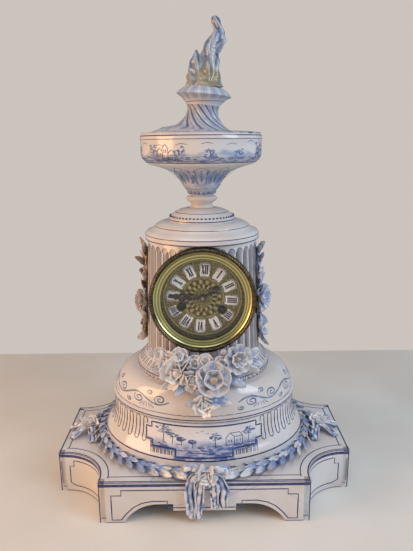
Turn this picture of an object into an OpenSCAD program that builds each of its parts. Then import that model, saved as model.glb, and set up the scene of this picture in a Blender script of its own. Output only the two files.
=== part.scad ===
// Porcelain mantel clock with a French round movement.
// An oblong plinth with hollowed corners carries an oval drum. On it stands a fluted case
// with the clock, closed by a cover, an urn on a foot, and a lid with a flame finial.
// Origin: the middle of the plinth's underside. X to the right, Y to the back, Z up. Millimetres.

/* [Plinth] */
// Width of the plinth
plinth_w = 372; // [360:1:400]
// Depth of the plinth
plinth_d = 241; // [236:1:260]
// Height of the plinth
plinth_h = 55; // [48:1:70]
// Radius of each hollowed corner
corner_r = 54; // [40:1:58]
// Size of the square step at each end of a hollowed corner
corner_step = 7.5; // [4:0.5:10]
// Thickness of the plinth's walls and top
plinth_wall = 8; // [6:0.5:10]
// Width of each foot on the front
foot_w = 21; // [16:1:28]
// Height of the arches between the feet
arch_h = 25; // [18:1:30]
// Radius of the arches' curved end
arch_r = 46; // [40:1:50]
// Half the width of the apron between the front arches
apron_half_w = 37; // [30:1:44]
// Height of the apron's lower edge above the table
apron_h = 16; // [10:1:17]
// Width of the foot at each end of the plinth's short sides
side_foot_w = 16; // [12:1:20]

/* [Drum] */
// Width of the oval drum at its rim
drum_w = 238; // [230:1:244]
// Depth of the oval drum at its rim
drum_d = 195; // [190:1:200]
// Height of the drum's wall, from the plinth to the rim
drum_h = 68; // [62:1:76]
// How far the drum's foot stands out beyond its wall
drum_flare = 13.5; // [10:0.5:15]
// Rise of the drum's domed top above the rim
dome_h = 34; // [28:1:40]
// Thickness of the drum's wall
drum_wall = 7; // [5:0.5:9]
// Half the width of the raised panel
panel_half_w = 72; // [64:1:78]
// How far the raised panel stands out
panel_out = 3.2; // [2:0.2:4.5]

/* [Case] */
// Radius of the open shaft down through the base moulding and the drum's top
shaft_r = 60; // [54:1:62]
// Radius of the patterned band round the foot of the case
band_r = 86; // [84:0.5:88]
// Height of the base moulding under the case
tier_h = 20; // [16:1:24]
// Outer radius of the fluted case at its foot
case_foot_r = 73.5; // [72:0.25:75]
// Outer radius of the fluted case at its top
case_top_r = 68; // [66:0.25:70]
// Height of the fluted case
case_h = 145; // [140:1:150]
// Thickness of the case's wall
case_wall = 7; // [6:0.25:8]
// Number of flutes round the case
flute_count = 36; // [30:1:40]
// Radius of a flute's hollow
flute_r = 5.5; // [5:0.25:6]
// Depth of a flute
flute_depth = 1.8; // [1:0.1:2.4]
// Distance from the case's axis to the front of the dial collar
case_front = 64; // [62:0.5:67]
// Distance from the case's axis to the back of the rear collar
case_back = 62; // [60:0.5:66]
// Height of the dial's centre above the foot of the case
dial_up = 82; // [79:0.5:84]
// Outer radius of the collar round the dial
collar_r = 60; // [58.5:0.25:61]
// Outer radius of the collar round the rear opening
rear_collar_r = 50; // [49:0.25:52]

/* [Cover, urn and lid] */
// Greatest radius of the cover on the case
cover_r = 71; // [69:0.5:73]
// Height of the cover
cover_h = 22.5; // [20:0.5:26]
// Radius of the urn's foot
urn_foot_r = 41.3; // [38:0.1:45]
// Height of the urn's foot and knop
urn_foot_h = 32.5; // [28:0.5:38]
// Radius of the urn's wide bowl
bowl_r = 73; // [68:0.5:78]
// Height of the urn's bowl
bowl_h = 70; // [62:1:78]
// Thickness of the bowl's wall
bowl_wall = 7; // [5:0.5:9]
// Height of the lid above the bowl's rim
lid_h = 33; // [28:1:38]
// Radius of the lid's fluted neck where it is thinnest
neck_r = 18.4; // [16:0.2:21]
// Number of spiral flutes on the neck
spiral_count = 14; // [10:1:16]
// Turn of a spiral flute from the neck's foot to its top, in degrees
spiral_turn = 70; // [40:5:90]
// Depth of a spiral flute
spiral_depth = 1.7; // [1:0.1:2]
// Lean of the lid's neck and finial to the right, in degrees
finial_lean = 5; // [0:0.5:6]
// Greatest radius of the petal collar under the flame
petal_r = 32.7; // [29:0.1:36]
// Height of the petal collar
petal_h = 20; // [17:0.5:24]
// Height of the flame finial
flame_h = 78; // [70:1:86]

/* [Dial and bezel] */
// Outer radius of the bezel
bezel_r = 63; // [62:0.25:64.5]
// Height of the bezel door's ring, front to back
door_h = 6.3; // [5.5:0.1:7]
// Outer radius of the fixed ring behind the door
fixed_ring_r = 59.7; // [58:0.1:60.4]
// Thickness of the fixed ring
fixed_ring_t = 2; // [1.6:0.1:2.4]
// Thickness of the glass
glass_t = 1.6; // [1.2:0.1:1.8]
// Radius of the sight opening in the bezel
sight_r = 49.4; // [48.6:0.1:50]
// Radius of the dial plate
dial_r = 50.4; // [49.6:0.1:50.6]
// Thickness of the dial plate
dial_t = 0.8; // [0.6:0.1:1]
// Depth of the dial's face behind the front of the collar
dial_back = 6.2; // [5.8:0.1:7]
// Radius of the ring of numeral plaques
plaque_ring_r = 35; // [33:0.5:36]
// Length of a numeral plaque
plaque_l = 17.3; // [14:0.1:18]
// Width of a numeral plaque
plaque_w = 13.4; // [11:0.1:14]
// Thickness of a numeral plaque
plaque_t = 0.8; // [0.5:0.1:1]
// Distance of each winding hole from the dial's centre
winding_r = 27; // [26.4:0.1:27.6]
// Radius of a winding hole in the dial
winding_hole_r = 5.5; // [4.5:0.1:6]
// Length of the hour hand
hour_hand_l = 29; // [24:0.5:31]
// Length of the minute hand
minute_hand_l = 43; // [38:0.5:44]
// Turn of the clockwork and dial in the case, clockwise, in degrees
movement_turn = 5; // [0:0.5:8]
// Hour shown at rest
shown_hour = 1; // [0:1:11]
// Minute shown at rest
shown_minute = 45; // [0:1:59]

/* [Movement] */
// Radius of the two round plates
plate_r = 45; // [44.5:0.1:46]
// Thickness of a plate
plate_t = 2; // [1.6:0.1:2.4]
// Gap between the plates
plate_gap = 34; // [33:0.5:38]
// Gap between the dial and the front plate
dial_gap = 7; // [6.6:0.1:8]
// Length of a spring barrel
barrel_l = 24; // [22:0.5:24]
// Length of the pendulum, from its bending point to the bob's centre
pendulum_l = 129; // [120:1:130]
// Radius of the pendulum bob
bob_r = 19; // [15:0.5:21]
// Radius of the bell
bell_r = 32; // [28:0.5:33]

/* [Hidden] */
$fn = 48;

// Clearances and overruns
cut = 1;
seat_gap = 0.3;
run_gap = 0.05;
fit_gap = 0.2;
mesh_gap = 0.3;
bore_gap = 0.5;
seat_room = 1;

// Heights of the stacked porcelain pieces
rim_z = plinth_h + drum_h;
drum_top_z = rim_z + dome_h;
case_z = drum_top_z + tier_h;
dial_z = case_z + dial_up;
cover_z = case_z + case_h;
urn_foot_z = cover_z + cover_h;
bowl_z = urn_foot_z + urn_foot_h;
lid_z = bowl_z + bowl_h;

// Shared helpers
function polar(a, r) = [r * cos(a), r * sin(a)];
// The point at distance rp from p and rq from q, on the left of the way from p to q where side is 1
function meet(p, rp, q, rq, side) =
  let (d = norm(p - q), along = (rp * rp - rq * rq + d * d) / (2 * d),
    off = sqrt(rp * rp - along * along), u = (q - p) / d)
  p + along * u + side * off * [-u[1], u[0]];
function sized(shares, r, h) = [for (s = shares) [s[0] * r, s[1] * h]];
function closed(points) = concat([[0, points[0][1]]], points, [[0, points[len(points) - 1][1]]]);

// Rings joined into one closed skin: with caps, or the last ring joined to the first
module skin(rings, capped) {
  sides = len(rings[0]);
  count = len(rings);
  points = [for (ring = rings) for (p = ring) p];
  last = capped ? count - 1 : count;
  walls = [for (i = [0:last - 1]) for (j = [0:sides - 1])
    let (k = (j + 1) % sides, n = (i + 1) % count)
    each [[i * sides + j, n * sides + k, i * sides + k], [i * sides + j, n * sides + j, n * sides + k]]];
  bottom = [for (j = [0:sides - 1]) j];
  top = [for (j = [sides - 1:-1:0]) (count - 1) * sides + j];
  polyhedron(points = points, faces = capped ? concat([bottom], walls, [top]) : walls);
}

// A rod from one point to another
module rod(from, to, r) {
  run = to - from;
  translate(from)
    rotate([0, acos(run[2] / norm(run)), atan2(run[1], run[0])])
      cylinder(r = r, h = norm(run));
}

// Plinth
corner_x = plinth_w / 2 - corner_step;
corner_y = plinth_d / 2 - corner_step;
straight_x = corner_x - corner_r - corner_step;
straight_y = corner_y - corner_r - corner_step;

module plinth_outline(inset) {
  difference() {
    square([plinth_w - 2 * inset, plinth_d - 2 * inset], center = true);
    for (sx = [-1, 1]) for (sy = [-1, 1]) {
      translate([sx * corner_x, sy * corner_y])
        circle(r = corner_r + inset);
      translate([sx * (straight_x - inset + plinth_w), sy * (corner_y - inset + plinth_d)])
        square([2 * plinth_w, 2 * plinth_d], center = true);
      translate([sx * (corner_x - inset + plinth_w), sy * (straight_y - inset + plinth_d)])
        square([2 * plinth_w, 2 * plinth_d], center = true);
    }
  }
}

// One arch in a wall: open from x0 outwards to a rounded end at x1
module arch(x0, x1) {
  centre_x = x1 - sqrt(arch_r * arch_r - (arch_r - arch_h) * (arch_r - arch_h));
  intersection() {
    union() {
      translate([centre_x, arch_h - arch_r])
        circle(r = arch_r, $fn = 96);
      translate([x0, -cut])
        square([max(centre_x - x0, cut), arch_h + cut]);
    }
    translate([x0, -cut])
      square([x1 - x0 + cut, arch_h + cut]);
  }
}

module front_cuts() {
  foot_x = straight_x - foot_w;
  for (s = [0, 1])
    mirror([s, 0, 0])
      arch(apron_half_w, foot_x);
  translate([-apron_half_w - cut, -cut])
    square([2 * (apron_half_w + cut), apron_h + cut]);
}

module side_cuts() {
  foot_y = straight_y - side_foot_w;
  translate([-foot_y, -cut])
    square([2 * foot_y, apron_h + cut]);
}

module plinth() {
  color("snow")
    difference() {
      linear_extrude(plinth_h)
        plinth_outline(0);
      up(-cut)
        linear_extrude(plinth_h - plinth_wall + cut)
          plinth_outline(plinth_wall);
      post(plinth_h - plinth_wall - cut, shaft_r, plinth_wall + 2 * cut);
      translate([0, plinth_d, 0])
        rotate([90, 0, 0])
          linear_extrude(2 * plinth_d)
            front_cuts();
      translate([-plinth_w, 0, 0])
        rotate([90, 0, 90])
          linear_extrude(2 * plinth_w)
            side_cuts();
    }
}

// Drum: an oval wall that spreads to a foot, under a dome that ends in a round seat
dome_ledge = 2;
dome_top_r = band_r + dome_ledge;
drum_sides = 60;
// Height on the wall and share of the flare there
flare_shares = [[0, 1], [0.25, 1], [0.3, 0.9], [0.38, 0.64], [0.47, 0.38], [0.57, 0.18], [0.7, 0.04],
  [0.9, 0]];
rim_roll = 1.6;
dome_steps = 6;

function drum_ring(a, b, z) =
  [for (i = [0:drum_sides - 1]) [a * cos(360 * i / drum_sides), b * sin(360 * i / drum_sides), z]];

function drum_outer(grow) =
  let (a = drum_w / 2 + grow, b = drum_d / 2 + grow)
  concat(
    [for (s = flare_shares)
      drum_ring(a + s[1] * drum_flare, b + s[1] * drum_flare * drum_d / drum_w, plinth_h + s[0] * drum_h)],
    [drum_ring(a + rim_roll, b + rim_roll, rim_z - 2 * rim_roll),
      drum_ring(a + rim_roll, b + rim_roll, rim_z),
      drum_ring(a - rim_roll, b - rim_roll, rim_z + rim_roll)],
    [for (i = [1:dome_steps])
      let (t = 90 * i / dome_steps,
        da = (drum_w / 2 - rim_roll - dome_top_r) * (1 - cos(t)),
        db = (drum_d / 2 - rim_roll - dome_top_r) * (1 - cos(t)))
      drum_ring(a - rim_roll - da, b - rim_roll - db,
        rim_z + rim_roll + (dome_h - rim_roll) * sin(t) + grow * sin(t))]);

function drum_inner() =
  let (a = drum_w / 2 - drum_wall, b = drum_d / 2 - drum_wall, r = shaft_r)
  [drum_ring(r, r, drum_top_z), drum_ring(r, r, drum_top_z - drum_wall),
    drum_ring((a + r) / 2, (b + r) / 2, drum_top_z - 1.4 * drum_wall),
    drum_ring(a, b, rim_z), drum_ring(a, b, plinth_h)];

module drum() {
  color("snow")
    skin(concat(drum_outer(0), drum_inner()), false);
}

// The drum's outer form, grown, to seat what lies on it
module drum_envelope(grow) {
  skin(drum_outer(grow), true);
}

// Raised panel that follows the drum's wall, a grid of cells with stepped corners
panel_gap_z = 3;
panel_corner = 7;
panel_foot_share = 0.42;
panel_drop_share = 0.3;
panel_top_share = 0.8;
panel_drop_half_w = 36;
panel_corner_share = panel_corner / drum_h;
panel_end_share = (rim_z - 2 * rim_roll - panel_gap_z - plinth_h) / drum_h;
panel_xs = let (w = panel_half_w, v = panel_half_w - panel_corner, u = panel_drop_half_w)
  [-w, -v, -(v + u) / 2, -u, -2 * u / 3, -u / 3, 0, u / 3, 2 * u / 3, u, (v + u) / 2, v, w];
panel_rises = [panel_drop_share, (panel_drop_share + panel_foot_share) / 2, panel_foot_share,
  panel_foot_share + panel_corner_share, (panel_foot_share + panel_top_share) / 2 + panel_corner_share / 2,
  panel_top_share, panel_end_share];

function wall_flare(share) = lookup(share, flare_shares) * drum_flare;

function panel_point(x, share, out) =
  let (a = drum_w / 2 + wall_flare(share), b = drum_d / 2 + wall_flare(share) * drum_d / drum_w)
  [x, -b * sqrt(1 - x * x / (a * a)) - out, plinth_h + share * drum_h];

// Half the panel's width at a height
function panel_reach(share) =
  share < panel_foot_share ? panel_drop_half_w
  : share < panel_foot_share + panel_corner_share || share > panel_top_share ? panel_half_w - panel_corner
  : panel_half_w;

module drum_panel() {
  nx = len(panel_xs);
  nz = len(panel_rises);
  function covers(i, k) =
    i >= 0 && k >= 0 && i < nx - 1 && k < nz - 1
    && abs(panel_xs[i] + panel_xs[i + 1]) / 2 < panel_reach((panel_rises[k] + panel_rises[k + 1]) / 2);
  // Corner of a cell: side 0 is the back of the panel and side 1 its face
  function at(i, k, side) = (k * nx + i) * 2 + side;
  color("aliceblue")
    polyhedron(
      [for (k = [0:nz - 1], i = [0:nx - 1], out = [seat_gap, panel_out])
        panel_point(panel_xs[i], panel_rises[k], out)],
      [for (i = [0:nx - 2], k = [0:nz - 2])
        if (covers(i, k))
          each concat(
            [[at(i, k, 1), at(i, k + 1, 1), at(i + 1, k + 1, 1)],
              [at(i, k, 1), at(i + 1, k + 1, 1), at(i + 1, k, 1)],
              [at(i, k, 0), at(i + 1, k + 1, 0), at(i, k + 1, 0)], [at(i, k, 0), at(i + 1, k, 0), at(i + 1, k + 1, 0)]],
            covers(i - 1, k) ? [] : [[at(i, k, 0), at(i, k + 1, 0), at(i, k + 1, 1), at(i, k, 1)]],
            covers(i + 1, k) ? [] : [[at(i + 1, k, 1), at(i + 1, k + 1, 1), at(i + 1, k + 1, 0), at(i + 1, k, 0)]],
            covers(i, k - 1) ? [] : [[at(i, k, 1), at(i + 1, k, 1), at(i + 1, k, 0), at(i, k, 0)]],
            covers(i, k + 1) ? [] : [[at(i, k + 1, 0), at(i + 1, k + 1, 0), at(i + 1, k + 1, 1), at(i, k + 1, 1)]])]);
}

// Base moulding: a band, then a skirt that draws in to the case
tier_shares = [[1, 0], [1, 0.34], [0.985, 0.38], [0.985, 0.45], [0.955, 0.56], [0.905, 0.78], [0.885, 0.92],
  [0.88, 1]];

module tier() {
  color("snow")
    difference() {
      up(drum_top_z)
        rotate_extrude($fn = 96)
          polygon(closed(sized(tier_shares, band_r, tier_h)));
      post(drum_top_z - cut, shaft_r, tier_h + 2 * cut);
    }
}

// Case: a slightly tapered fluted drum with round collars that carry the dial and the rear door
flute_foot = 4;
flute_head = 6;
front_land = 7.4;
front_bore_r = fixed_ring_r - front_land;
rear_land = 6;
rear_bore_r = rear_collar_r - rear_land;
case_slope = atan((case_foot_r - case_top_r) / case_h);

module at_front() {
  translate([0, -case_front, dial_z])
    rotate([90, 0, 0])
      children();
}

module case_solid(grow) {
  up(case_z)
    cylinder(r1 = case_foot_r + grow, r2 = case_top_r + grow, h = case_h, $fn = 96);
}

module flutes() {
  deep = flute_r - flute_depth;
  length = case_h - flute_head - flute_foot - flute_r;
  for (i = [0:flute_count - 1])
    rotate([0, 0, 360 * (i + 0.5) / flute_count])
      translate([case_foot_r + deep, 0, case_z])
        rotate([0, -case_slope, 0])
          up(flute_foot) {
            cylinder(r = flute_r, h = length);
            up(length)
              sphere(r = flute_r);
          }
}

module case_body() {
  color("snow")
    difference() {
      union() {
        difference() {
          case_solid(0);
          flutes();
        }
        at_front()
          post(-case_front, collar_r, case_front, $fn = 96);
        at_front()
          post(-case_front - case_back, rear_collar_r, case_back, $fn = 96);
      }
      up(case_z - cut)
        cylinder(r1 = case_foot_r - case_wall, r2 = case_top_r - case_wall, h = case_h + 2 * cut, $fn = 96);
      at_front()
        post(-case_front, front_bore_r, case_front + cut, $fn = 96);
      at_front()
        cylinder(r = bezel_r + seat_room, h = case_foot_r, $fn = 96);
      at_front()
        post(-case_front - case_back - cut, rear_bore_r, case_back + 2 * cut, $fn = 96);
      at_front()
        post(-case_front - case_back - case_foot_r, rear_collar_r + seat_room, case_foot_r, $fn = 96);
    }
}

// Cover: a moulded cap over the open top of the case
cover_shares = [[0.958, 0], [1, 0.05], [1, 0.35], [0.972, 0.46], [0.93, 0.51], [0.866, 0.6], [0.831, 0.68],
  [0.817, 0.78], [0.74, 0.92], [0.648, 1]];
cover_hollow_share = 0.6;

module case_cover() {
  inner_r = case_top_r - case_wall;
  color("snow")
    up(cover_z)
      difference() {
        rotate_extrude($fn = 96)
          polygon(closed(sized(cover_shares, cover_r, cover_h)));
        up(-cut)
          cylinder(r1 = inner_r, r2 = inner_r - case_wall, h = cover_h * cover_hollow_share + cut);
      }
}

// Urn: a domed foot with a knop, a lower bowl and a wide dish that is open at the top
urn_foot_shares = [[1, 0], [1, 0.1], [0.945, 0.18], [0.872, 0.26], [0.79, 0.33], [0.68, 0.4], [0.57, 0.44],
  [0.363, 0.495], [0.308, 0.59], [0.341, 0.66], [0.43, 0.74], [0.475, 0.815], [0.436, 0.895],
  [0.35, 0.95], [0.33, 1]];
bowl_shares = [[0.186, 0], [0.233, 0.039], [0.266, 0.071], [0.308, 0.126], [0.334, 0.179], [0.356, 0.229],
  [0.381, 0.264], [0.404, 0.3], [0.436, 0.334], [0.5, 0.386], [0.66, 0.45], [0.86, 0.507],
  [0.918, 0.541], [0.953, 0.576], [0.978, 0.609], [0.995, 0.657], [1, 0.743], [1, 0.907],
  [1.007, 0.943], [0.993, 0.986], [0.98, 1]];
dish_floor_share = 0.62;

module urn_foot() {
  color("snow")
    up(urn_foot_z)
      rotate_extrude($fn = 72)
        polygon(closed(sized(urn_foot_shares, urn_foot_r, urn_foot_h)));
}

module urn_bowl() {
  color("snow")
    up(bowl_z)
      difference() {
        rotate_extrude($fn = 96)
          polygon(closed(sized(bowl_shares, bowl_r, bowl_h)));
        post(bowl_h * dish_floor_share, bowl_r - bowl_wall, bowl_h, $fn = 96);
      }
}

// Lid: a low cone that runs up into a neck with spiral flutes
lid_plug = 4;
lid_shares = [[0.972, 0], [0.98, 0.05], [0.82, 0.09], [0.64, 0.15], [0.54, 0.2], [0.455, 0.25], [0.413, 0.3],
  [0.372, 0.37], [0.323, 0.48], [0.292, 0.58], [0.263, 0.72], [0.252, 0.86], [0.258, 0.95], [0.265, 1]];
neck_thin_share = 0.252;
first_leaning = 3;
first_spiral = 4;
last_spiral = 11;
spiral_points = 5;

function spiral_ring(r, z, depth, turn) =
  let (sides = spiral_count * spiral_points)
  [for (i = [0:sides - 1])
    let (a = 360 * i / sides, rr = r - depth * (1 - cos(spiral_count * a)) / 2)
    [rr * cos(a + turn), rr * sin(a + turn), z]];

module lean() {
  up(lid_z)
    rotate([0, finial_lean, 0])
      up(-lid_z)
        children();
}

function leaning(p) =
  [p[0] * cos(finial_lean) + (p[2] - lid_z) * sin(finial_lean), p[1],
    lid_z - p[0] * sin(finial_lean) + (p[2] - lid_z) * cos(finial_lean)];

module lid() {
  plug_r = bowl_r - bowl_wall - bore_gap;
  neck_share = neck_r / bowl_r - neck_thin_share;
  rings = concat(
    [spiral_ring(plug_r, lid_z - lid_plug, 0, 0), spiral_ring(plug_r, lid_z, 0, 0)],
    [for (i = [0:len(lid_shares) - 1])
      let (s = lid_shares[i], start = lid_shares[first_spiral][1],
        r = (s[0] + (i > first_spiral ? neck_share : 0)) * bowl_r,
        depth = i < first_leaning || i > last_spiral ? 0 : spiral_depth,
        turn = -spiral_turn * max(0, s[1] - start) / (1 - start),
        ring = spiral_ring(r, lid_z + s[1] * lid_h, depth, turn))
      i < first_leaning ? ring : [for (p = ring) leaning(p)]]);
  color("snow")
    skin(rings, true);
}

// Petal collar under the flame
petal_shares = [[0.6, 0], [0.627, 0.095], [0.7, 0.2], [0.77, 0.32], [0.82, 0.405], [1, 0.57], [0.9, 0.765],
  [0.765, 0.935], [0.7, 1]];

module lid_collar() {
  color("skyblue")
    lean()
      up(lid_z + lid_h + seat_gap / 3)
        rotate_extrude($fn = 72)
          polygon(closed(sized(petal_shares, petal_r, petal_h)));
}

// Flame: tongues from a broad foot, in shares of the flame's height
flame_shares = [[0, 0, 0.235], [0.02, 0.1, 0.22], [0.03, 0.19, 0.185], [0.025, 0.28, 0.195],
  [0, 0.38, 0.185], [0.06, 0.48, 0.15], [0.1, 0.57, 0.125], [0.145, 0.66, 0.115], [0.175, 0.755, 0.1],
  [0.18, 0.83, 0.07], [0.13, 0.92, 0.05], [0.11, 0.985, 0.014]];
tongue_shares = [[-0.12, 0.24, 0.1], [-0.14, 0.36, 0.085], [-0.125, 0.47, 0.045], [-0.105, 0.55, 0.014]];
flame_flat_share = 0.8;

module tongue(shares, turn) {
  for (i = [0:len(shares) - 2])
    hull()
      for (s = [shares[i], shares[i + 1]])
        translate([s[0] * flame_h, 0, s[1] * flame_h])
          rotate([0, 0, turn])
            scale([1, flame_flat_share, 1])
              sphere(r = s[2] * flame_h, $fn = 12);
}

module flame() {
  color("skyblue")
    lean()
      up(lid_z + lid_h + petal_h + seat_gap)
        intersection() {
          union() {
            tongue(flame_shares, 0);
            tongue(tongue_shares, 30);
          }
          translate([-flame_h, -flame_h, 0])
            cube(2 * flame_h);
        }
}

// Applied flowers and leaves. Each is seated a hair off the porcelain that carries it
// Along a leaf: share of its length, share of its greatest width and thickness there
leaf_shares = [[0, 0.2], [0.22, 0.74], [0.5, 1], [0.78, 0.66], [1, 0.06]];
leaf_w_share = 0.24;
leaf_t_share = 0.1;
petal_w_share = 0.36;
petal_rise = 28;
petal_roll = 9;
heart_share = 0.36;
heart_sides = 8;
heart_turn = 7;

// A pointed blade of length l from the origin along X, half as wide as w and half as thick as t
module blade(l, w, t) {
  hull()
    skin([for (s = leaf_shares)
      [[s[0] * l, 0, -s[1] * t], [s[0] * l, s[1] * w, 0], [s[0] * l, 0, s[1] * t], [s[0] * l, -s[1] * w, 0]]],
      true);
}

// A leaf of length l from the origin along X, face up, with its tip lifted by rise degrees
module leaf(l, rise) {
  rotate([0, -rise, 0])
    blade(l, l * leaf_w_share, l * leaf_t_share);
}

// An open flower of radius r, facing up Z, with its back at the origin
module bloom(r, petals) {
  for (i = [0:petals - 1])
    rotate([0, 0, 360 * i / petals])
      up(r * leaf_t_share)
        rotate([petal_roll, -petal_rise, 0])
          blade(r, r * petal_w_share, 1.5 * r * leaf_t_share);
  up(r * heart_share / 2)
    rotate([heart_turn / 2, 0, heart_turn])
      sphere(r = r * heart_share, $fn = heart_sides);
}

// Garland of leaves lying on the plinth round the foot of the drum
garland_r = 5;
garland_leaf_l = 17;
garland_leaves = 34;
garland_rise = 8;
garland_splay = 38;
garland_lift_share = 1.05;
garland_sides = 5;
garland_rings = 40;
foot_a = drum_w / 2 + drum_flare;
foot_b = drum_d / 2 + drum_flare * drum_d / drum_w;

function garland_at(t) =
  [(foot_a + seat_gap + garland_r) * cos(t), (foot_b + seat_gap + garland_r) * sin(t),
    plinth_h + garland_lift_share * garland_r];

module base_garland() {
  color("skyblue")
    union() {
      skin([for (i = [0:garland_rings - 1])
        let (t = 360 * i / garland_rings, c = garland_at(t))
        [for (j = [0:garland_sides - 1])
          let (a = 360 * j / garland_sides)
          c + garland_r * [cos(a) * cos(t), cos(a) * sin(t), -sin(a)]]], false);
      intersection() {
        for (i = [0:garland_leaves - 1])
          let (t = 360 * i / garland_leaves, side = i % 2 == 0 ? 1 : -1,
            way = t > 90 && t < 270 ? -1 : 1, c = garland_at(t),
            tangent = atan2(foot_b * cos(t), -foot_a * sin(t)))
          translate(c)
            rotate([0, 0, tangent + (way > 0 ? 180 : 0) + side * way * garland_splay])
              leaf(garland_leaf_l, garland_rise);
        difference() {
          translate([-plinth_w, -plinth_w, plinth_h + seat_gap])
            cube(2 * plinth_w);
          up(plinth_h - cut)
            scale([1, foot_b / foot_a, 1])
              cylinder(r = foot_a + 2 * seat_gap, h = drum_h, $fn = garland_rings);
        }
      }
    }
}

// Bows and tassels of ribbon, made of flat loops and hanging ends
bow_l = 26;
bow_loop_r = 7;
ribbon_r = 3;
knot_r = 7;
tassel_drop = 52;
tassel_r = 4.5;
bow_sides = 6;

// A hanging end of ribbon from one place to another
module tail(from, to, r0, r1) {
  hull() {
    translate(from)
      sphere(r = r0, $fn = bow_sides);
    translate(to)
      sphere(r = r1, $fn = bow_sides);
  }
}

// A loop of ribbon that stands out sideways, as two thick strands that meet at its end
module bow_loop(side) {
  tip = [side * bow_l, 0, -bow_loop_r];
  top = [side * bow_l * 0.6, 0, bow_loop_r];
  low = [side * bow_l * 0.5, 0, -1.7 * bow_loop_r];
  tail([0, 0, 0], top, ribbon_r, 1.3 * ribbon_r);
  tail(top, tip, 1.3 * ribbon_r, ribbon_r);
  tail([0, 0, 0], low, ribbon_r, 1.2 * ribbon_r);
  tail(low, tip, 1.2 * ribbon_r, ribbon_r);
}

bow_room = 3.2 * garland_r;

module front_bow() {
  face_y = -plinth_d / 2 - seat_gap;
  knot_z = plinth_h + knot_r;
  hang_y = face_y - 0.85 * tassel_r;
  color("skyblue")
    difference() {
      union() {
        translate([0, face_y - ribbon_r / 2, knot_z])
          sphere(r = knot_r, $fn = 2 * bow_sides);
        translate([0, face_y - ribbon_r, plinth_h - ribbon_r]) {
          bow_loop(-1);
          bow_loop(1);
        }
        for (t = [[-0.16, 1, 1], [-0.5, 0.8, 0.8], [0.3, 0.86, 0.8], [0.85, 0.66, 1.1]])
          tail([t[0] * tassel_r, hang_y, knot_z],
            [t[0] * bow_l - tassel_r, hang_y, knot_z - t[1] * (tassel_drop + tassel_r)],
            0.6 * tassel_r, t[2] * tassel_r);
      }
      translate([-plinth_w / 2, face_y, -plinth_h])
        cube([plinth_w, plinth_d, 2 * plinth_h + seat_gap]);
      up(plinth_h - cut)
        scale([1, (foot_b + bow_room) / foot_a, 1])
          cylinder(r = foot_a + 3 * seat_gap, h = drum_h, $fn = garland_rings);
    }
}

// A bow lying on the plinth beside the drum
module side_bow() {
  start = foot_a + 2 * garland_r + 3 * seat_gap;
  reach = plinth_w / 2 - ribbon_r - start;
  z = plinth_h + ribbon_r;
  color("skyblue")
    difference() {
      union() {
        translate([start + knot_r, 0, z])
          sphere(r = 0.8 * knot_r, $fn = bow_sides);
        for (s = [-1, 1]) {
          tail([start + knot_r, 0, z], [start + reach / 2, s * bow_l, z], ribbon_r, 1.3 * ribbon_r);
          tail([start + reach / 2, s * bow_l, z], [start + reach / 4, s * bow_l * 1.5, z],
            1.3 * ribbon_r, ribbon_r);
          tail([start + knot_r, 0, z], [start + reach * 0.6, s * bow_l / 2, z], ribbon_r, 1.3 * ribbon_r);
          tail([start + reach * 0.6, s * bow_l / 2, z], [start + reach, s * bow_l * 0.7, z],
            1.3 * ribbon_r, ribbon_r);
        }
      }
      translate([-plinth_w, -plinth_w, plinth_h + seat_gap - 2 * plinth_w])
        cube(2 * plinth_w);
      scale([1, (foot_b + 2 * garland_r) / (foot_a + 2 * garland_r), 1])
        cylinder(r = start - seat_gap, h = rim_z, $fn = garland_rings);
    }
}

module right_bow() {
  side_bow();
}

module left_bow() {
  mirror([1, 0, 0])
    side_bow();
}

// Hanging flowers on one side of the case, as on the right side
// Shares of the case's height: bloom radius, leaf length, stem radius
side_flower_share = 0.11;
side_leaf_share = 0.138;
side_stem_share = 0.029;
// Height up the case, way across in leaf lengths, and turn or size
side_leaf_shares = [[0.9, -0.04, 60], [0.86, 0.05, 120], [0.78, -0.05, 80], [0.7, 0.06, 100], [0.62, -0.1, 110],
  [0.6, 0.1, 70], [0.36, -0.1, -110], [0.36, 0.1, -70], [0.26, -0.05, -100], [0.2, 0.05, -80], [0.12, 0, -90]];
side_bloom_shares = [[0.48, 0, 1], [0.68, -0.25, 0.5], [0.31, 0.19, 0.5]];
side_petals = 6;
side_stem_shares = [0.12, 0.5, 0.9];

function case_r_at(share) = case_foot_r + (case_top_r - case_foot_r) * share;

module side_flowers() {
  leaf_l = side_leaf_share * case_h;
  difference() {
    union() {
      for (i = [1:len(side_stem_shares) - 1])
        hull()
          for (share = [side_stem_shares[i - 1], side_stem_shares[i]])
            translate([case_r_at(share), 0, case_z + share * case_h])
              sphere(r = side_stem_share * case_h, $fn = bow_sides);
      for (s = side_leaf_shares)
        rotate([0, 0, asin(s[1] * leaf_l / case_r_at(s[0]))])
          translate([case_r_at(s[0]) + leaf_l * leaf_t_share, 0, case_z + s[0] * case_h])
            rotate([0, 90, 0])
              rotate([0, 0, s[2] + 90])
                leaf(leaf_l, garland_rise);
      for (s = side_bloom_shares)
        rotate([0, 0, asin(s[1] * leaf_l / case_r_at(s[0]))])
          translate([case_r_at(s[0]) - s[2], 0, case_z + s[0] * case_h])
            rotate([0, 90, 0])
              bloom(side_flower_share * case_h * s[2], side_petals);
    }
    case_solid(seat_gap);
  }
}

module right_garland() {
  color("skyblue")
    rotate([0, 0, -8])
      side_flowers();
}

module left_garland() {
  color("skyblue")
    mirror([1, 0, 0])
      rotate([0, 0, -2])
        side_flowers();
}

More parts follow.
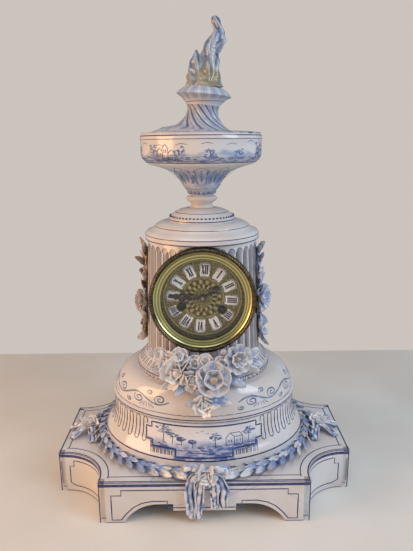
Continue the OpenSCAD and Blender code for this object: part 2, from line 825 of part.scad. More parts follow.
// Bouquet below the dial: [degrees round from the front, reach, height and size as shares]
main_bloom_r = 18;
bouquet_petals = 5;
bouquet_shares = [[6, 1.1, 0.42, 1], [25, 1.02, 0.85, 0.86], [-18, 1.05, 0.55, 0.6], [-6, 0.99, 0.9, 0.5],
  [2, 0.96, 1.1, 0.42], [-33, 0.98, 1.0, 0.5], [-26, 0.98, 0.78, 0.38], [0, 1.18, -0.5, 0.45],
  [9, 1.17, -0.42, 0.5]];
bouquet_leaf_shares = [[-9, 1.05, 0.1, 200], [-17, 1, 0.5, 225], [12, 1.04, 0.2, 325], [21, 1, 0.5, 330],
  [-29, 0.95, 0.65, 195], [30, 0.93, 0.8, 15], [0, 1.12, -0.4, 250], [5, 1.12, -0.4, 295]];
bouquet_leaf_l = 24;
bouquet_tilt = 61;
bouquet_rise = 22;

module on_case(angle, reach, up) {
  rotate([0, 0, angle])
    translate([0, -reach * band_r, drum_top_z + up * tier_h])
      rotate([bouquet_tilt, 0, 0])
        children();
}

module bouquet_bed() {
  hull() {
    on_case(-26, 0.88, 0.8)
      sphere(r = 0.7 * main_bloom_r, $fn = bow_sides);
    on_case(0, 0.92, 0.4)
      sphere(r = main_bloom_r, $fn = bow_sides);
  }
  hull() {
    on_case(26, 0.88, 0.8)
      sphere(r = 0.7 * main_bloom_r, $fn = bow_sides);
    on_case(0, 0.92, 0.4)
      sphere(r = main_bloom_r, $fn = bow_sides);
  }
  hull() {
    on_case(3, 1.02, 0)
      sphere(r = 0.6 * main_bloom_r, $fn = bow_sides);
    on_case(3, 1.13, -0.6)
      sphere(r = 0.35 * main_bloom_r, $fn = bow_sides);
  }
}

module front_bouquet() {
  color("skyblue")
    difference() {
      union() {
        bouquet_bed();
        for (s = bouquet_shares)
          on_case(s[0], s[1] - 0.5 * s[3] * main_bloom_r / band_r, s[2])
            bloom(main_bloom_r * s[3], bouquet_petals);
        for (s = bouquet_leaf_shares)
          on_case(s[0], s[1] - 0.06, s[2])
            rotate([0, 0, s[3]])
              leaf(bouquet_leaf_l, bouquet_rise);
      }
      case_solid(seat_gap);
      up(drum_top_z)
        rotate_extrude($fn = 72)
          polygon(closed(sized(tier_shares, band_r + seat_gap, tier_h + seat_gap)));
      drum_envelope(seat_gap);
      at_front()
        post(-case_front, collar_r + 2 * seat_gap, case_front + cut);
      door_sweep(2 * seat_gap);
    }
}

// Dial frame: the origin is the dial's centre at the collar's front face, Z towards the viewer, Y up
module up(z) {
  translate([0, 0, z])
    children();
}

module post(z, r, h) {
  up(z)
    cylinder(r = r, h = h);
}

module peg(at, z, r, h) {
  set_at(at, z)
    cylinder(r = r, h = h);
}

module at_dial() {
  at_front()
    rotate([0, 0, -movement_turn])
      children();
}

// Bezel: a fixed ring in the collar, a hinged door with the glass, and their pin
sleeve_t = 1.4;
sleeve_out_r = front_bore_r - fit_gap;
sleeve_in_r = sleeve_out_r - sleeve_t;
flange_t = 1;
flange_w = 3;
door_gap = 0.3;
door_z = fixed_ring_t + door_gap;
glass_rebate = 1.8;
pin_r = 0.7;
knuckle_r = 1.6;
knuckle_l = 7;
knuckle_gap = 0.3;
hinge_x = bezel_r + knuckle_r + bore_gap;
hinge_z = door_z + knuckle_r / 2;
// Door ring outside the glass: shares of its width and of its height
door_shares = [[1, 0], [1, 0.62], [0.95, 0.87], [0.82, 1], [0.68, 0.9], [0.6, 0.72], [0.34, 0.48],
  [0.16, 0.37], [0, 0.34]];
// The space that the door's ring sweeps as it swings
module door_sweep(grow) {
  at_dial()
    translate([hinge_x, 0, hinge_z])
      rotate([90, 0, 0])
        rotate_extrude(angle = 180, start = 0, $fn = 72)
          intersection() {
            translate([hinge_x, 0])
              circle(r = bezel_r + grow);
            translate([0, -2 * bezel_r])
              square(4 * bezel_r);
          }
}

// A knuckle on the hinge axis, centred at height y, with a lug from lug_x to the axis
module knuckle(axis_x, axis_z, y, length, lug_x, z0, z1) {
  translate([axis_x, y - length / 2, axis_z])
    rotate([-90, 0, 0])
      cylinder(r = knuckle_r, h = length);
  translate([lug_x, y - length / 2, z0])
    cube([axis_x - lug_x, length, z1 - z0]);
}

module knuckle_bore(axis_x, axis_z, r) {
  span = 3 * knuckle_l + 4 * knuckle_gap + 2 * cut;
  translate([axis_x, span / 2, axis_z])
    rotate([90, 0, 0])
      cylinder(r = r, h = span);
}

module bezel_ring() {
  color("gold")
    at_dial()
      difference() {
        union() {
          rotate_extrude($fn = 96)
            polygon([[sleeve_in_r, fixed_ring_t], [sleeve_in_r, flange_z],
              [sleeve_in_r - flange_w, flange_z], [sleeve_in_r - flange_w, flange_z - flange_t],
              [sleeve_out_r, flange_z - flange_t], [sleeve_out_r, 0], [fixed_ring_r, 0],
              [fixed_ring_r, fixed_ring_t]]);
          for (s = [-1, 1])
            knuckle(hinge_x, hinge_z, s * (knuckle_l + knuckle_gap), knuckle_l,
              fixed_ring_r - knuckle_r, 0, fixed_ring_t);
        }
        knuckle_bore(hinge_x, hinge_z, pin_r + run_gap);
      }
}

module door_ring() {
  ring_w = bezel_r - sight_r;
  glass_z = door_z + glass_t;
  color("gold")
    at_dial()
      difference() {
        union() {
          rotate_extrude($fn = 96)
            polygon(concat([[sight_r + glass_rebate, door_z]],
              [for (s = door_shares) [sight_r + s[0] * ring_w, door_z + s[1] * door_h]],
              [[sight_r, glass_z], [sight_r + glass_rebate, glass_z]]));
          knuckle(hinge_x, hinge_z, 0, knuckle_l, bezel_r - knuckle_r, door_z, hinge_z + knuckle_r);
        }
        knuckle_bore(hinge_x, hinge_z, pin_r + run_gap);
      }
}

module glass() {
  color("lightcyan")
    at_dial()
      post(door_z, sight_r + glass_rebate - run_gap, glass_t, $fn = 96);
}

module front_hinge_pin() {
  length = 3 * knuckle_l + 2 * knuckle_gap;
  color("gold")
    at_dial()
      translate([hinge_x, length / 2, hinge_z])
        rotate([90, 0, 0])
          cylinder(r = pin_r, h = length);
}

// Dial: a thin gilt plate with raised rings, held by three feet in the front plate
dial_face_z = -dial_back;
dial_under_z = dial_face_z - dial_t;
flange_z = dial_under_z;
front_plate_z = dial_under_z - dial_gap;
hour_pipe_r = 3;
dial_hole_r = hour_pipe_r + bore_gap;
winding_angle = 117;
going_at = polar(90 - winding_angle, winding_r);
strike_at = polar(90 + winding_angle, winding_r);
dial_foot_r = 1.2;
dial_foot_ring = 40;
dial_foot_angles = [30, 150, 270];
relief_t = 0.6;
relief_w = 1.2;
relief_shares = [0.92, 0.5, 0.3];

module dial() {
  color("gold")
    at_dial()
      difference() {
        union() {
          post(dial_under_z, dial_r, dial_t, $fn = 96);
          for (s = relief_shares)
            up(dial_face_z)
              difference() {
                cylinder(r = s * dial_r + relief_w / 2, h = relief_t);
                post(-cut, s * dial_r - relief_w / 2, relief_t + 2 * cut);
              }
          for (p = [going_at, strike_at])
            peg(p, dial_face_z, winding_hole_r + relief_w, relief_t);
          for (a = dial_foot_angles)
            rotate([0, 0, a])
              translate([dial_foot_ring, 0, front_plate_z - plate_t - dial_foot_r])
                cylinder(r = dial_foot_r, h = dial_gap + plate_t + dial_foot_r);
        }
        post(dial_under_z - cut, dial_hole_r, dial_t + relief_t + 2 * cut);
        for (p = [going_at, strike_at])
          peg(p, dial_under_z - cut, winding_hole_r, dial_t + relief_t + 2 * cut);
      }
}

// Twelve enamel plaques for the hours: arched at the outer end, drawn in at the inner one
plaque_shares = [[-0.36, -0.5], [0.36, -0.5], [0.42, -0.3], [0.5, 0.1], [0.48, 0.34], [0.3, 0.46], [0, 0.5],
  [-0.3, 0.46], [-0.48, 0.34], [-0.5, 0.1], [-0.42, -0.3]];

module cartouches() {
  color("white")
    at_dial()
      up(dial_face_z)
        linear_extrude(plaque_t)
          difference() {
            for (i = [0:11])
              rotate([0, 0, -30 * i])
                translate([0, plaque_ring_r])
                  polygon([for (s = plaque_shares) [s[0] * plaque_w, s[1] * plaque_l]]);
            for (p = [going_at, strike_at])
              translate(p)
                circle(r = winding_hole_r + relief_w + seat_gap);
          }
}

// Hands: pierced blued steel. Shares of a hand's length
hand_t = 0.6;
hand_gap = 1.4;
hour_hand_z = dial_face_z + plaque_t + hand_gap / 2;
minute_hand_z = hour_hand_z + hand_t + hand_gap;
cannon_r = 2.2;
arbor_r = 1.5;
collet_r = 2.6;
collet_t = 1.2;
minute_angle = 6 * shown_minute;
hour_angle = 30 * shown_hour + shown_minute / 2;
hand_shares = [[0.04, 0.1], [0.03, 0.3], [0.1, 0.36], [0.055, 0.44], [0.12, 0.52], [0.14, 0.6], [0.06, 0.68],
  [0.1, 0.74], [0.02, 0.82], [0, 1]];
hand_eye_share = 0.56;
hand_eye_r_share = 0.06;

module hand(length, hub_r, bore_r) {
  linear_extrude(hand_t)
    difference() {
      union() {
        circle(r = hub_r);
        polygon(concat([for (s = hand_shares) [s[0] * length, s[1] * length]],
          [for (i = [len(hand_shares) - 2:-1:0]) [-hand_shares[i][0] * length, hand_shares[i][1] * length]]));
      }
      circle(r = bore_r);
      translate([0, hand_eye_share * length])
        circle(r = hand_eye_r_share * length);
    }
}

module hour_hand() {
  color("midnightblue")
    at_dial()
      rotate([0, 0, -hour_angle])
        up(hour_hand_z)
          hand(hour_hand_l, hour_pipe_r + collet_t, hour_pipe_r);
}

module minute_hand() {
  color("midnightblue")
    at_dial()
      rotate([0, 0, -minute_angle])
        up(minute_hand_z)
          hand(minute_hand_l, collet_r + collet_t, arbor_r);
}

module hand_collet() {
  color("gold")
    at_dial()
      up(minute_hand_z + hand_t)
        difference() {
          cylinder(r1 = collet_r, r2 = collet_r / 2 + arbor_r / 2, h = collet_t);
          post(-cut, arbor_r, collet_t + 2 * cut);
        }
}

// Wheelwork. Each pair meets at its pitch circles, less a working gap
barrel_teeth = 84;
barrel_module = 0.5;
second_leaves = 12;
second_teeth = 70;
second_module = 0.42;
centre_leaves = 10;
centre_teeth = 72;
centre_module = 0.4;
third_leaves = 6;
third_teeth = 72;
third_module = 0.32;
escape_leaves = 6;
escape_teeth = 35;
escape_r = 9.5;
strike_teeth = 72;
strike_module = 0.3;
pin_leaves = 8;
pin_teeth = 60;
pin_module = 0.26;
stop_leaves = 6;
stop_teeth = 48;
stop_module = 0.26;
fly_leaves = 6;
motion_module = 0.5;
cannon_teeth = 12;
minute_teeth = 36;
minute_leaves = 10;
hour_teeth = 40;
wheel_t = 1.2;
pinion_l = 3;
pivot_r = 0.8;
axle_r = 1;
rim_share = 0.8;
spoke_share = 0.16;
hub_share = 0.3;
tooth_share = 2.2;
spokes = 4;

function pitch(n, m) = n * m / 2;
function reach(n, k, m) = pitch(n, m) + pitch(k, m) + mesh_gap;

centre_at = [0, 0];
escape_at = [0, 23];
pallet_at = [0, 35];
second_at = meet(going_at, reach(barrel_teeth, second_leaves, barrel_module), centre_at,
  reach(second_teeth, centre_leaves, second_module), -1);
third_at = meet(centre_at, reach(centre_teeth, third_leaves, centre_module), escape_at,
  reach(third_teeth, escape_leaves, third_module), 1);
strike_next_at = strike_at + polar(100, reach(barrel_teeth, second_leaves, barrel_module));
pin_at = strike_next_at + polar(60, reach(strike_teeth, pin_leaves, strike_module));
stop_at = pin_at + polar(20, reach(pin_teeth, stop_leaves, pin_module));
fly_at = stop_at + polar(75, reach(stop_teeth, fly_leaves, stop_module));
hammer_at = [-34.5, 24.6];
motion_at = polar(128, reach(cannon_teeth, minute_teeth, motion_module));

// Levels between the plates, from the back plate forwards
back_plate_z = front_plate_z - plate_t - plate_gap;
plate_back_z = back_plate_z - plate_t;
inner_back_z = back_plate_z;
inner_front_z = front_plate_z - plate_t;
barrel_lift = 4;
back_lift = 1.4;
front_drop = 2.8;
third_drop = 5.2;
escape_lift = 20;
pin_lift = 10;
stop_lift = 25;
barrel_z = inner_back_z + barrel_lift;
level_back = inner_back_z + back_lift;
level_front = inner_front_z - front_drop;
level_third = inner_front_z - third_drop;
level_escape = inner_back_z + escape_lift;
level_pin = inner_back_z + pin_lift;
level_stop = inner_back_z + stop_lift;

module toothed(n, m) {
  tip = pitch(n, m);
  root = max(tip - tooth_share * m, tip * rim_share);
  polygon([for (i = [0:n - 1]) for (p = [[0, root], [0.15, tip], [0.45, tip], [0.6, root]])
    polar(360 * (i + p[0]) / n, p[1])]);
}

module wheel_blank(tip) {
  circle(r = tip * hub_share);
  for (i = [0:spokes / 2 - 1])
    rotate([0, 0, 360 * i / spokes])
      square([2 * rim_share * tip + wheel_t, spoke_share * tip], center = true);
}

// A crossed-out wheel: toothed rim, spokes and hub
module wheel(n, m, z) {
  tip = pitch(n, m);
  up(z)
    linear_extrude(wheel_t) {
      difference() {
        toothed(n, m);
        circle(r = tip * rim_share);
      }
      intersection() {
        wheel_blank(tip);
        circle(r = tip * rim_share + wheel_t / 4);
      }
    }
}

module pinion(n, m, z) {
  up(z)
    linear_extrude(pinion_l)
      toothed(n, m);
}

// An arbor between the plates, with a pivot in each
module axle(back_reach, front_reach) {
  post(inner_back_z, axle_r, plate_gap);
  post(inner_back_z - back_reach, pivot_r, plate_gap + back_reach + front_reach);
}

module set_at(at, z) {
  translate([at[0], at[1], z])
    children();
}

module placed(at) {
  at_dial()
    set_at(at, 0)
      children();
}

// Plates and pillars
pillar_ring = 41.5;
pillar_r = 2.4;
pillar_angles = [60, 120, 240, 300];
arbor_main_r = 2.4;
arbor_back_r = 1.6;
minute_stud_l = 5.2;
passing_hole_r = 3;

module plate_holes(places, r, z) {
  for (p = places)
    peg(p, z - cut, r + run_gap, plate_t + 2 * cut, $fn = 24);
}

module front_plate() {
  z = front_plate_z - plate_t;
  color("gold")
    at_dial() {
      difference() {
        post(z, plate_r, plate_t, $fn = 96);
        plate_holes([second_at, third_at, escape_at, pallet_at, strike_next_at, pin_at, stop_at,
          fly_at, hammer_at], pivot_r, z);
        plate_holes([going_at, strike_at], arbor_main_r, z);
        plate_holes([centre_at], arbor_r, z);
        plate_holes([for (a = dial_foot_angles) polar(a, dial_foot_ring)], dial_foot_r, z);
      }
      for (p = [motion_at, click_at(going_at, 1), click_at(strike_at, -1)])
        peg(p, front_plate_z, pivot_r, minute_stud_l);
    }
}

module back_plate() {
  z = plate_back_z;
  color("gold")
    at_dial()
      difference() {
        post(z, plate_r, plate_t, $fn = 96);
        plate_holes([centre_at, second_at, third_at, escape_at, strike_next_at, pin_at, stop_at,
          fly_at, hammer_at], pivot_r, z);
        plate_holes([going_at, strike_at], arbor_back_r, z);
        plate_holes([pallet_at], passing_hole_r, z);
      }
}

module pillars() {
  color("gold")
    at_dial()
      for (a = pillar_angles)
        rotate([0, 0, a])
          translate([pillar_ring, 0, inner_back_z])
            cylinder(r = pillar_r, h = plate_gap);
}

// Spring barrels, winding arbors and clicks
barrel_rim_l = 2.4;
barrel_step = 0.6;
ratchet_r = 7.5;
ratchet_t = 1.4;
ratchet_gap = 0.4;
ratchet_teeth = 18;
square_w = 3.4;
square_gap = 0.6;
click_reach = 12;
click_angle = 20;
click_tip_r = 0.9;
click_r = 2;
click_t = 1.2;

function click_at(at, side) = at + [side * click_reach * cos(click_angle), click_reach * sin(click_angle)];

module barrel(at) {
  body_r = pitch(barrel_teeth, barrel_module) - tooth_share * barrel_module + barrel_step;
  color("gold")
    placed(at)
      difference() {
        union() {
          up(barrel_z)
            linear_extrude(barrel_rim_l)
              toothed(barrel_teeth, barrel_module);
          post(barrel_z, body_r - barrel_step, barrel_l, $fn = 96);
        }
        post(barrel_z - cut, arbor_main_r + run_gap, barrel_l + 2 * cut);
      }
}

module winding_arbor(at) {
  ratchet_z = front_plate_z + ratchet_gap;
  square_end = dial_under_z - square_gap;
  color("silver")
    placed(at) {
      post(inner_back_z, arbor_main_r, ratchet_z - inner_back_z);
      post(inner_back_z - plate_t, arbor_back_r, plate_t);
      up(ratchet_z)
        linear_extrude(ratchet_t)
          polygon([for (i = [0:ratchet_teeth - 1]) for (p = [[0, 1], [0.5, 0.86]])
            polar(360 * (i + p[0]) / ratchet_teeth, p[1] * ratchet_r)]);
      translate([-square_w / 2, -square_w / 2, ratchet_z])
        cube([square_w, square_w, square_end - ratchet_z]);
    }
}

module click(at, side) {
  run = click_reach - ratchet_r - click_tip_r - seat_gap;
  color("silver")
    placed(click_at(at, side))
      up(front_plate_z + ratchet_gap)
        linear_extrude(click_t)
          difference() {
            union() {
              circle(r = click_r);
              rotate([0, 0, side > 0 ? 180 + click_angle : -click_angle]) {
                translate([0, -click_tip_r])
                  square([run, 2 * click_tip_r]);
                translate([run, 0])
                  circle(r = click_tip_r);
              }
            }
            circle(r = pivot_r + run_gap);
          }
}

module going_barrel() { barrel(going_at); }
module strike_barrel() { barrel(strike_at); }
module going_arbor() { winding_arbor(going_at); }
module strike_arbor() { winding_arbor(strike_at); }
module going_click() { click(going_at, 1); }
module strike_click() { click(strike_at, -1); }

// Going train
module second_wheel() {
  color("gold")
    placed(second_at) {
      axle(plate_t, plate_t);
      pinion(second_leaves, barrel_module, barrel_z);
      wheel(second_teeth, second_module, level_front);
    }
}

module centre_wheel() {
  top = minute_hand_z + hand_t + collet_t;
  color("gold")
    placed(centre_at) {
      post(inner_back_z, arbor_r, top - inner_back_z);
      post(inner_back_z - plate_t, pivot_r, plate_t);
      pinion(centre_leaves, second_module, level_front - wheel_t / 2);
      wheel(centre_teeth, centre_module, level_back);
    }
}

module third_wheel() {
  color("gold")
    placed(third_at) {
      axle(plate_t, plate_t);
      pinion(third_leaves, centre_module, level_back - wheel_t / 2);
      wheel(third_teeth, third_module, level_third);
    }
}

module escape_wheel() {
  color("gold")
    placed(escape_at) {
      axle(plate_t, plate_t);
      pinion(escape_leaves, third_module, level_third - wheel_t / 2);
      wheel(escape_teeth, 2 * escape_r / escape_teeth, level_escape);
    }
}

// Motion work in front of the front plate
hour_module = motion_module * (cannon_teeth + minute_teeth) / (minute_leaves + hour_teeth);
motion_z = front_plate_z + seat_gap;
hour_wheel_z = motion_z + pinion_l + seat_gap;

module cannon_pinion() {
  color("silver")
    at_dial()
      difference() {
        union() {
          pinion(cannon_teeth, motion_module, motion_z);
          post(motion_z, cannon_r, minute_hand_z - motion_z);
        }
        post(motion_z - cut, arbor_r, minute_hand_z - motion_z + 2 * cut);
      }
}

module minute_wheel() {
  color("gold")
    placed(motion_at)
      difference() {
        union() {
          wheel(minute_teeth, motion_module, motion_z + wheel_t / 2);
          pinion(minute_leaves, hour_module, motion_z + wheel_t * 1.5);
        }
        post(motion_z - cut, pivot_r + run_gap, dial_gap);
      }
}

module hour_wheel() {
  color("gold")
    at_dial()
      difference() {
        union() {
          wheel(hour_teeth, hour_module, hour_wheel_z);
          post(hour_wheel_z, hour_pipe_r, hour_hand_z + hand_t - hour_wheel_z);
        }
        post(hour_wheel_z - cut, cannon_r + run_gap, hour_hand_z + hand_t - hour_wheel_z + 2 * cut);
      }
}

// Escapement, suspension and pendulum
cock_gap = 8;
cock_t = 2;
cock_w = 32;
cock_post_r = 2;
cock_post_x = 12;
cock_low = 4;
cock_high = 12;
stud_w = 6;
stud_h = 3.4;
stud_l = 7;
spring_y = 43;
spring_l = 9;
spring_w = 4;
spring_t = 0.4;
pendulum_drop = 4;
rod_r = 1.1;
fork_drop = 37;
fork_r = 0.6;
fork_gap = 0.2;
crutch_w = 3;
crutch_t = 1;
anchor_x = 9;
anchor_y = 5;
anchor_w = 2;
anchor_crown = 2.6;
bob_t = 8;
nut_r = 3;
nut_l = 4;
cock_z = plate_back_z - cock_gap;
pendulum_z = cock_z - cock_t - pendulum_drop;
crutch_z = cock_z + cock_gap / 2;

// The crutch hangs plumb while the movement stands turned
module pallets() {
  fork = [0, spring_y] + polar(movement_turn - 90, fork_drop) - pallet_at;
  crutch_l = norm(fork);
  fork_x = rod_r + fork_gap + fork_r;
  color("silver")
    placed(pallet_at) {
      post(cock_z - cock_t, pivot_r, inner_front_z + plate_t - cock_z + cock_t);
      post(crutch_z - crutch_t, axle_r, inner_front_z - crutch_z + crutch_t);
      up(level_escape)
        linear_extrude(wheel_t)
          polygon([[-anchor_x - anchor_w / 2, -anchor_y], [-anchor_x + anchor_w / 2, -anchor_y],
            [-anchor_x / 2, -anchor_w / 2], [0, 0], [anchor_x / 2, -anchor_w / 2],
            [anchor_x - anchor_w / 2, -anchor_y], [anchor_x + anchor_w / 2, -anchor_y],
            [anchor_x / 2, anchor_w / 2], [0, anchor_crown], [-anchor_x / 2, anchor_w / 2]]);
      rotate([0, 0, atan2(fork[0], -fork[1])]) {
        translate([-crutch_w / 2, -crutch_l - fork_r, crutch_z - crutch_t])
          cube([crutch_w, crutch_l + fork_r, crutch_t]);
        translate([-fork_x - fork_r, -crutch_l - fork_r, crutch_z - crutch_t])
          cube([2 * (fork_x + fork_r), 2 * fork_r, crutch_t]);
        for (s = [-1, 1])
          peg([s * fork_x, -crutch_l], pendulum_z - rod_r, fork_r, crutch_z - crutch_t / 2 - pendulum_z + rod_r);
      }
    }
}

module back_cock() {
  low_y = pallet_at[1] - cock_low;
  color("gold")
    at_dial()
      difference() {
        union() {
          for (s = [-1, 1])
            translate([s * cock_post_x, low_y + cock_post_r, cock_z])
              cylinder(r = cock_post_r, h = cock_gap);
          translate([-cock_w / 2, low_y, cock_z - cock_t])
            cube([cock_w, cock_low + cock_high, cock_t]);
          translate([-stud_w / 2, spring_y, cock_z - cock_t - stud_l])
            cube([stud_w, stud_h, stud_l + cock_t / 2]);
        }
        peg(pallet_at, cock_z - cock_t - cut, pivot_r + run_gap, cock_t + 2 * cut);
      }
}

module pendulum_rod() {
  rod_top = spring_y - spring_l;
  color("silver")
    at_dial()
      rotate([0, 0, movement_turn]) {
        hang = swing_foot();
        set_at(hang, 0) {
          translate([-spring_w / 2, -spring_l, pendulum_z - spring_t / 2])
            cube([spring_w, spring_l - fork_gap, spring_t]);
          translate([0, -spring_l, pendulum_z])
            rotate([90, 0, 0])
              cylinder(r = rod_r, h = pendulum_l - spring_l + bob_r + nut_l);
        }
      }
}

// Where the pendulum hangs, in the upright frame of the case
function swing_foot() =
  [spring_y * sin(movement_turn), spring_y * cos(movement_turn)];

module pendulum_bob() {
  edge = bob_t / 6;
  color("gold")
    at_dial()
      rotate([0, 0, movement_turn]) {
        hang = swing_foot();
        translate([hang[0], hang[1] - pendulum_l, pendulum_z])
          difference() {
            union() {
              rotate_extrude($fn = 72)
                polygon([[0, -bob_t / 2], [bob_r * 0.6, -bob_t / 2 + edge / 2], [bob_r, -edge / 2],
                  [bob_r, edge / 2], [bob_r * 0.6, bob_t / 2 - edge / 2], [0, bob_t / 2]]);
              translate([0, -bob_r - nut_l / 2, 0])
                rotate([90, 0, 0])
                  cylinder(r = nut_r, h = nut_l, center = true);
            }
            rotate([90, 0, 0])
              cylinder(r = rod_r, h = 4 * bob_r, center = true);
          }
      }
}

// Striking train
count_r = 12.8;
count_t = 1;
count_gap = 1;
count_notch = 2;
fly_w = 9;
fly_l = 8;
fly_t = 1;
hammer_drop = 30;
hammer_z = plate_back_z - hammer_drop;
hammer_r = 3.5;
hammer_l = 8;
hammer_rod_r = 1;
hammer_gap = 1.2;
hammer_tail_l = 4;
hammer_tail_turn = -20;
hammer_hub_r = 2.2;
hammer_hub_l = 3;
hammer_strike_angle = 176;
bell_t = 1.6;
bell_depth = 16;
bell_at = [0, -12];
bell_drop = 24;
bell_mouth_z = plate_back_z - bell_drop;
stand_at = [30, -30];
stand_r = 1.8;
stand_bar_t = 3;
stand_stud_r = 2;
stand_nut_r = 3.5;
stand_gap = 2;

module strike_second_wheel() {
  color("gold")
    placed(strike_next_at) {
      axle(plate_t + count_gap + count_t, plate_t);
      pinion(second_leaves, barrel_module, barrel_z);
      wheel(strike_teeth, strike_module, level_back);
    }
}

// Hours are counted by notches ever further apart
module count_wheel() {
  total = 90;
  color("gold")
    placed(strike_next_at)
      up(plate_back_z - count_gap - count_t)
        linear_extrude(count_t)
          difference() {
            circle(r = count_r);
            for (hour = [1:12])
              rotate([0, 0, 360 * (hour * (hour + 1) / 2 + hour) / total])
                translate([count_r, 0])
                  square([2 * count_notch, count_notch / 2], center = true);
            circle(r = pivot_r);
          }
}

module pin_wheel() {
  pins = 8;
  color("gold")
    placed(pin_at) {
      axle(plate_t, plate_t);
      pinion(pin_leaves, strike_module, level_back - wheel_t / 2);
      wheel(pin_teeth, pin_module, level_pin);
      for (i = [0:pins - 1])
        rotate([0, 0, 360 * i / pins])
          translate([pitch(pin_teeth, pin_module) * (1 + rim_share) / 2 - pin_r / 2, 0, level_pin])
            cylinder(r = pin_r / 2, h = pinion_l);
    }
}

module stop_wheel() {
  color("gold")
    placed(stop_at) {
      axle(plate_t, plate_t);
      pinion(stop_leaves, pin_module, level_pin - wheel_t / 2);
      wheel(stop_teeth, stop_module, level_stop);
    }
}

module fly() {
  color("gold")
    placed(fly_at) {
      axle(plate_t, plate_t);
      pinion(fly_leaves, stop_module, level_stop - wheel_t / 2);
      translate([-fly_w / 2, -fly_t / 2, level_pin - fly_l / 2])
        cube([fly_w, fly_t, fly_l]);
    }
}

function hammer_head() =
  let (reach = bell_r + hammer_gap + hammer_l / 2)
  bell_at + polar(hammer_strike_angle, reach);

module hammer() {
  head = hammer_head();
  to = bell_at - head;
  color("silver")
    at_dial() {
      peg(hammer_at, hammer_z, pivot_r, inner_front_z + plate_t - hammer_z);
      peg(hammer_at, inner_back_z, axle_r, plate_gap);
      peg(hammer_at, hammer_z - hammer_hub_l / 2, hammer_hub_r, hammer_hub_l);
      rod([hammer_at[0], hammer_at[1], hammer_z], [head[0], head[1], hammer_z], hammer_rod_r);
      set_at(head, hammer_z)
        rotate([0, 0, atan2(to[1], to[0])])
          rotate([0, 90, 0])
            cylinder(r = hammer_r, h = hammer_l, center = true);
      set_at(hammer_at, level_pin + wheel_t)
        rotate([0, 0, hammer_tail_turn])
          translate([0, -axle_r / 2, 0])
            cube([hammer_tail_l, axle_r, wheel_t]);
    }
}

bell_shares = [[1, 0], [0.98, 0.25], [0.9, 0.55], [0.72, 0.82], [0.45, 0.96], [0.2, 1]];

module bell() {
  inner = (bell_r - bell_t) / bell_r;
  color("silver")
    placed(bell_at)
      up(bell_mouth_z)
        mirror([0, 0, 1])
          difference() {
            rotate_extrude($fn = 96)
              polygon(concat(sized(bell_shares, bell_r, bell_depth), [[0, bell_depth], [0, 0]]));
            up(-run_gap)
              rotate_extrude($fn = 96)
                polygon(concat(sized(bell_shares, bell_r * inner, bell_depth - bell_t),
                  [[0, bell_depth - bell_t], [0, 0]]));
            cylinder(r = stand_stud_r + run_gap, h = bell_depth + cut);
          }
}

module bell_stand() {
  crown_z = bell_mouth_z - bell_depth;
  bar_z = crown_z - stand_gap;
  color("gold")
    at_dial() {
      peg(stand_at, bar_z - stand_bar_t, stand_r, plate_back_z - bar_z + stand_bar_t);
      rod([stand_at[0], stand_at[1], bar_z - stand_bar_t / 2],
        [bell_at[0], bell_at[1], bar_z - stand_bar_t / 2], stand_bar_t / 2);
      peg(bell_at, bar_z - stand_bar_t, stand_stud_r, stand_bar_t + stand_gap + bell_t + nut_l);
      peg(bell_at, bar_z - stand_bar_t, stand_nut_r, stand_bar_t + stand_gap);
      peg(bell_at, crown_z + bell_t + run_gap, stand_nut_r, nut_l / 2);
    }
}

// Straps from the bezel to the back, and screws that draw the rear ring against the case
strap_turn = -25;
strap_w = 10;
strap_t = 1.5;
strap_out_r = sleeve_in_r - fit_gap;
strap_share = 0.77;
strap_end_z = -(case_front + case_back) * strap_share;
screw_r = 1.6;
screw_ring = 41.8;
screw_head_r = 2.8;
screw_head_t = 2;
lug_in = 3.2;
rear_face_z = -case_front - case_back;
rear_ring_t = 2;
rear_ring_r = rear_collar_r - seat_gap;
rear_sight_r = 35;
rear_door_r = 38;
rear_door_t = 1.6;
rear_knuckle_x = rear_door_r + knuckle_r + bore_gap;
rear_hinge_z = rear_face_z - rear_ring_t - door_gap - knuckle_r;

module strap_places() {
  for (s = [0, 180])
    rotate([0, 0, strap_turn + s])
      children();
}

module straps() {
  color("gold")
    at_dial()
      strap_places()
        difference() {
          union() {
            translate([strap_out_r - strap_t, -strap_w / 2, strap_end_z])
              cube([strap_t, strap_w, flange_z - flange_t - strap_end_z]);
            translate([screw_ring - lug_in, -strap_w / 2, strap_end_z])
              cube([strap_out_r - screw_ring + lug_in, strap_w, strap_t]);
          }
          translate([screw_ring, 0, strap_end_z - cut])
            cylinder(r = screw_r + run_gap, h = strap_t + 2 * cut);
        }
}

module strap_screws() {
  color("silver")
    at_dial()
      strap_places()
        translate([screw_ring, 0, 0]) {
          post(rear_face_z - rear_ring_t, screw_r,
            strap_end_z + strap_t + 2 * cut - rear_face_z + rear_ring_t);
          post(rear_face_z - rear_ring_t - screw_head_t, screw_head_r, screw_head_t);
        }
}

module rear_bezel() {
  color("gold")
    at_dial()
      difference() {
        union() {
          post(rear_face_z - rear_ring_t, rear_ring_r, rear_ring_t, $fn = 96);
          for (s = [-1, 1])
            knuckle(rear_knuckle_x, rear_hinge_z, s * (knuckle_l + knuckle_gap), knuckle_l,
              rear_knuckle_x - knuckle_r, rear_hinge_z, rear_face_z - rear_ring_t / 2);
        }
        post(rear_face_z - rear_ring_t - cut, rear_sight_r, rear_ring_t + 2 * cut, $fn = 96);
        strap_places()
          translate([screw_ring, 0, rear_face_z - rear_ring_t - cut])
            cylinder(r = screw_r + run_gap, h = rear_ring_t + 2 * cut);
        knuckle_bore(rear_knuckle_x, rear_hinge_z, pin_r + run_gap);
      }
}

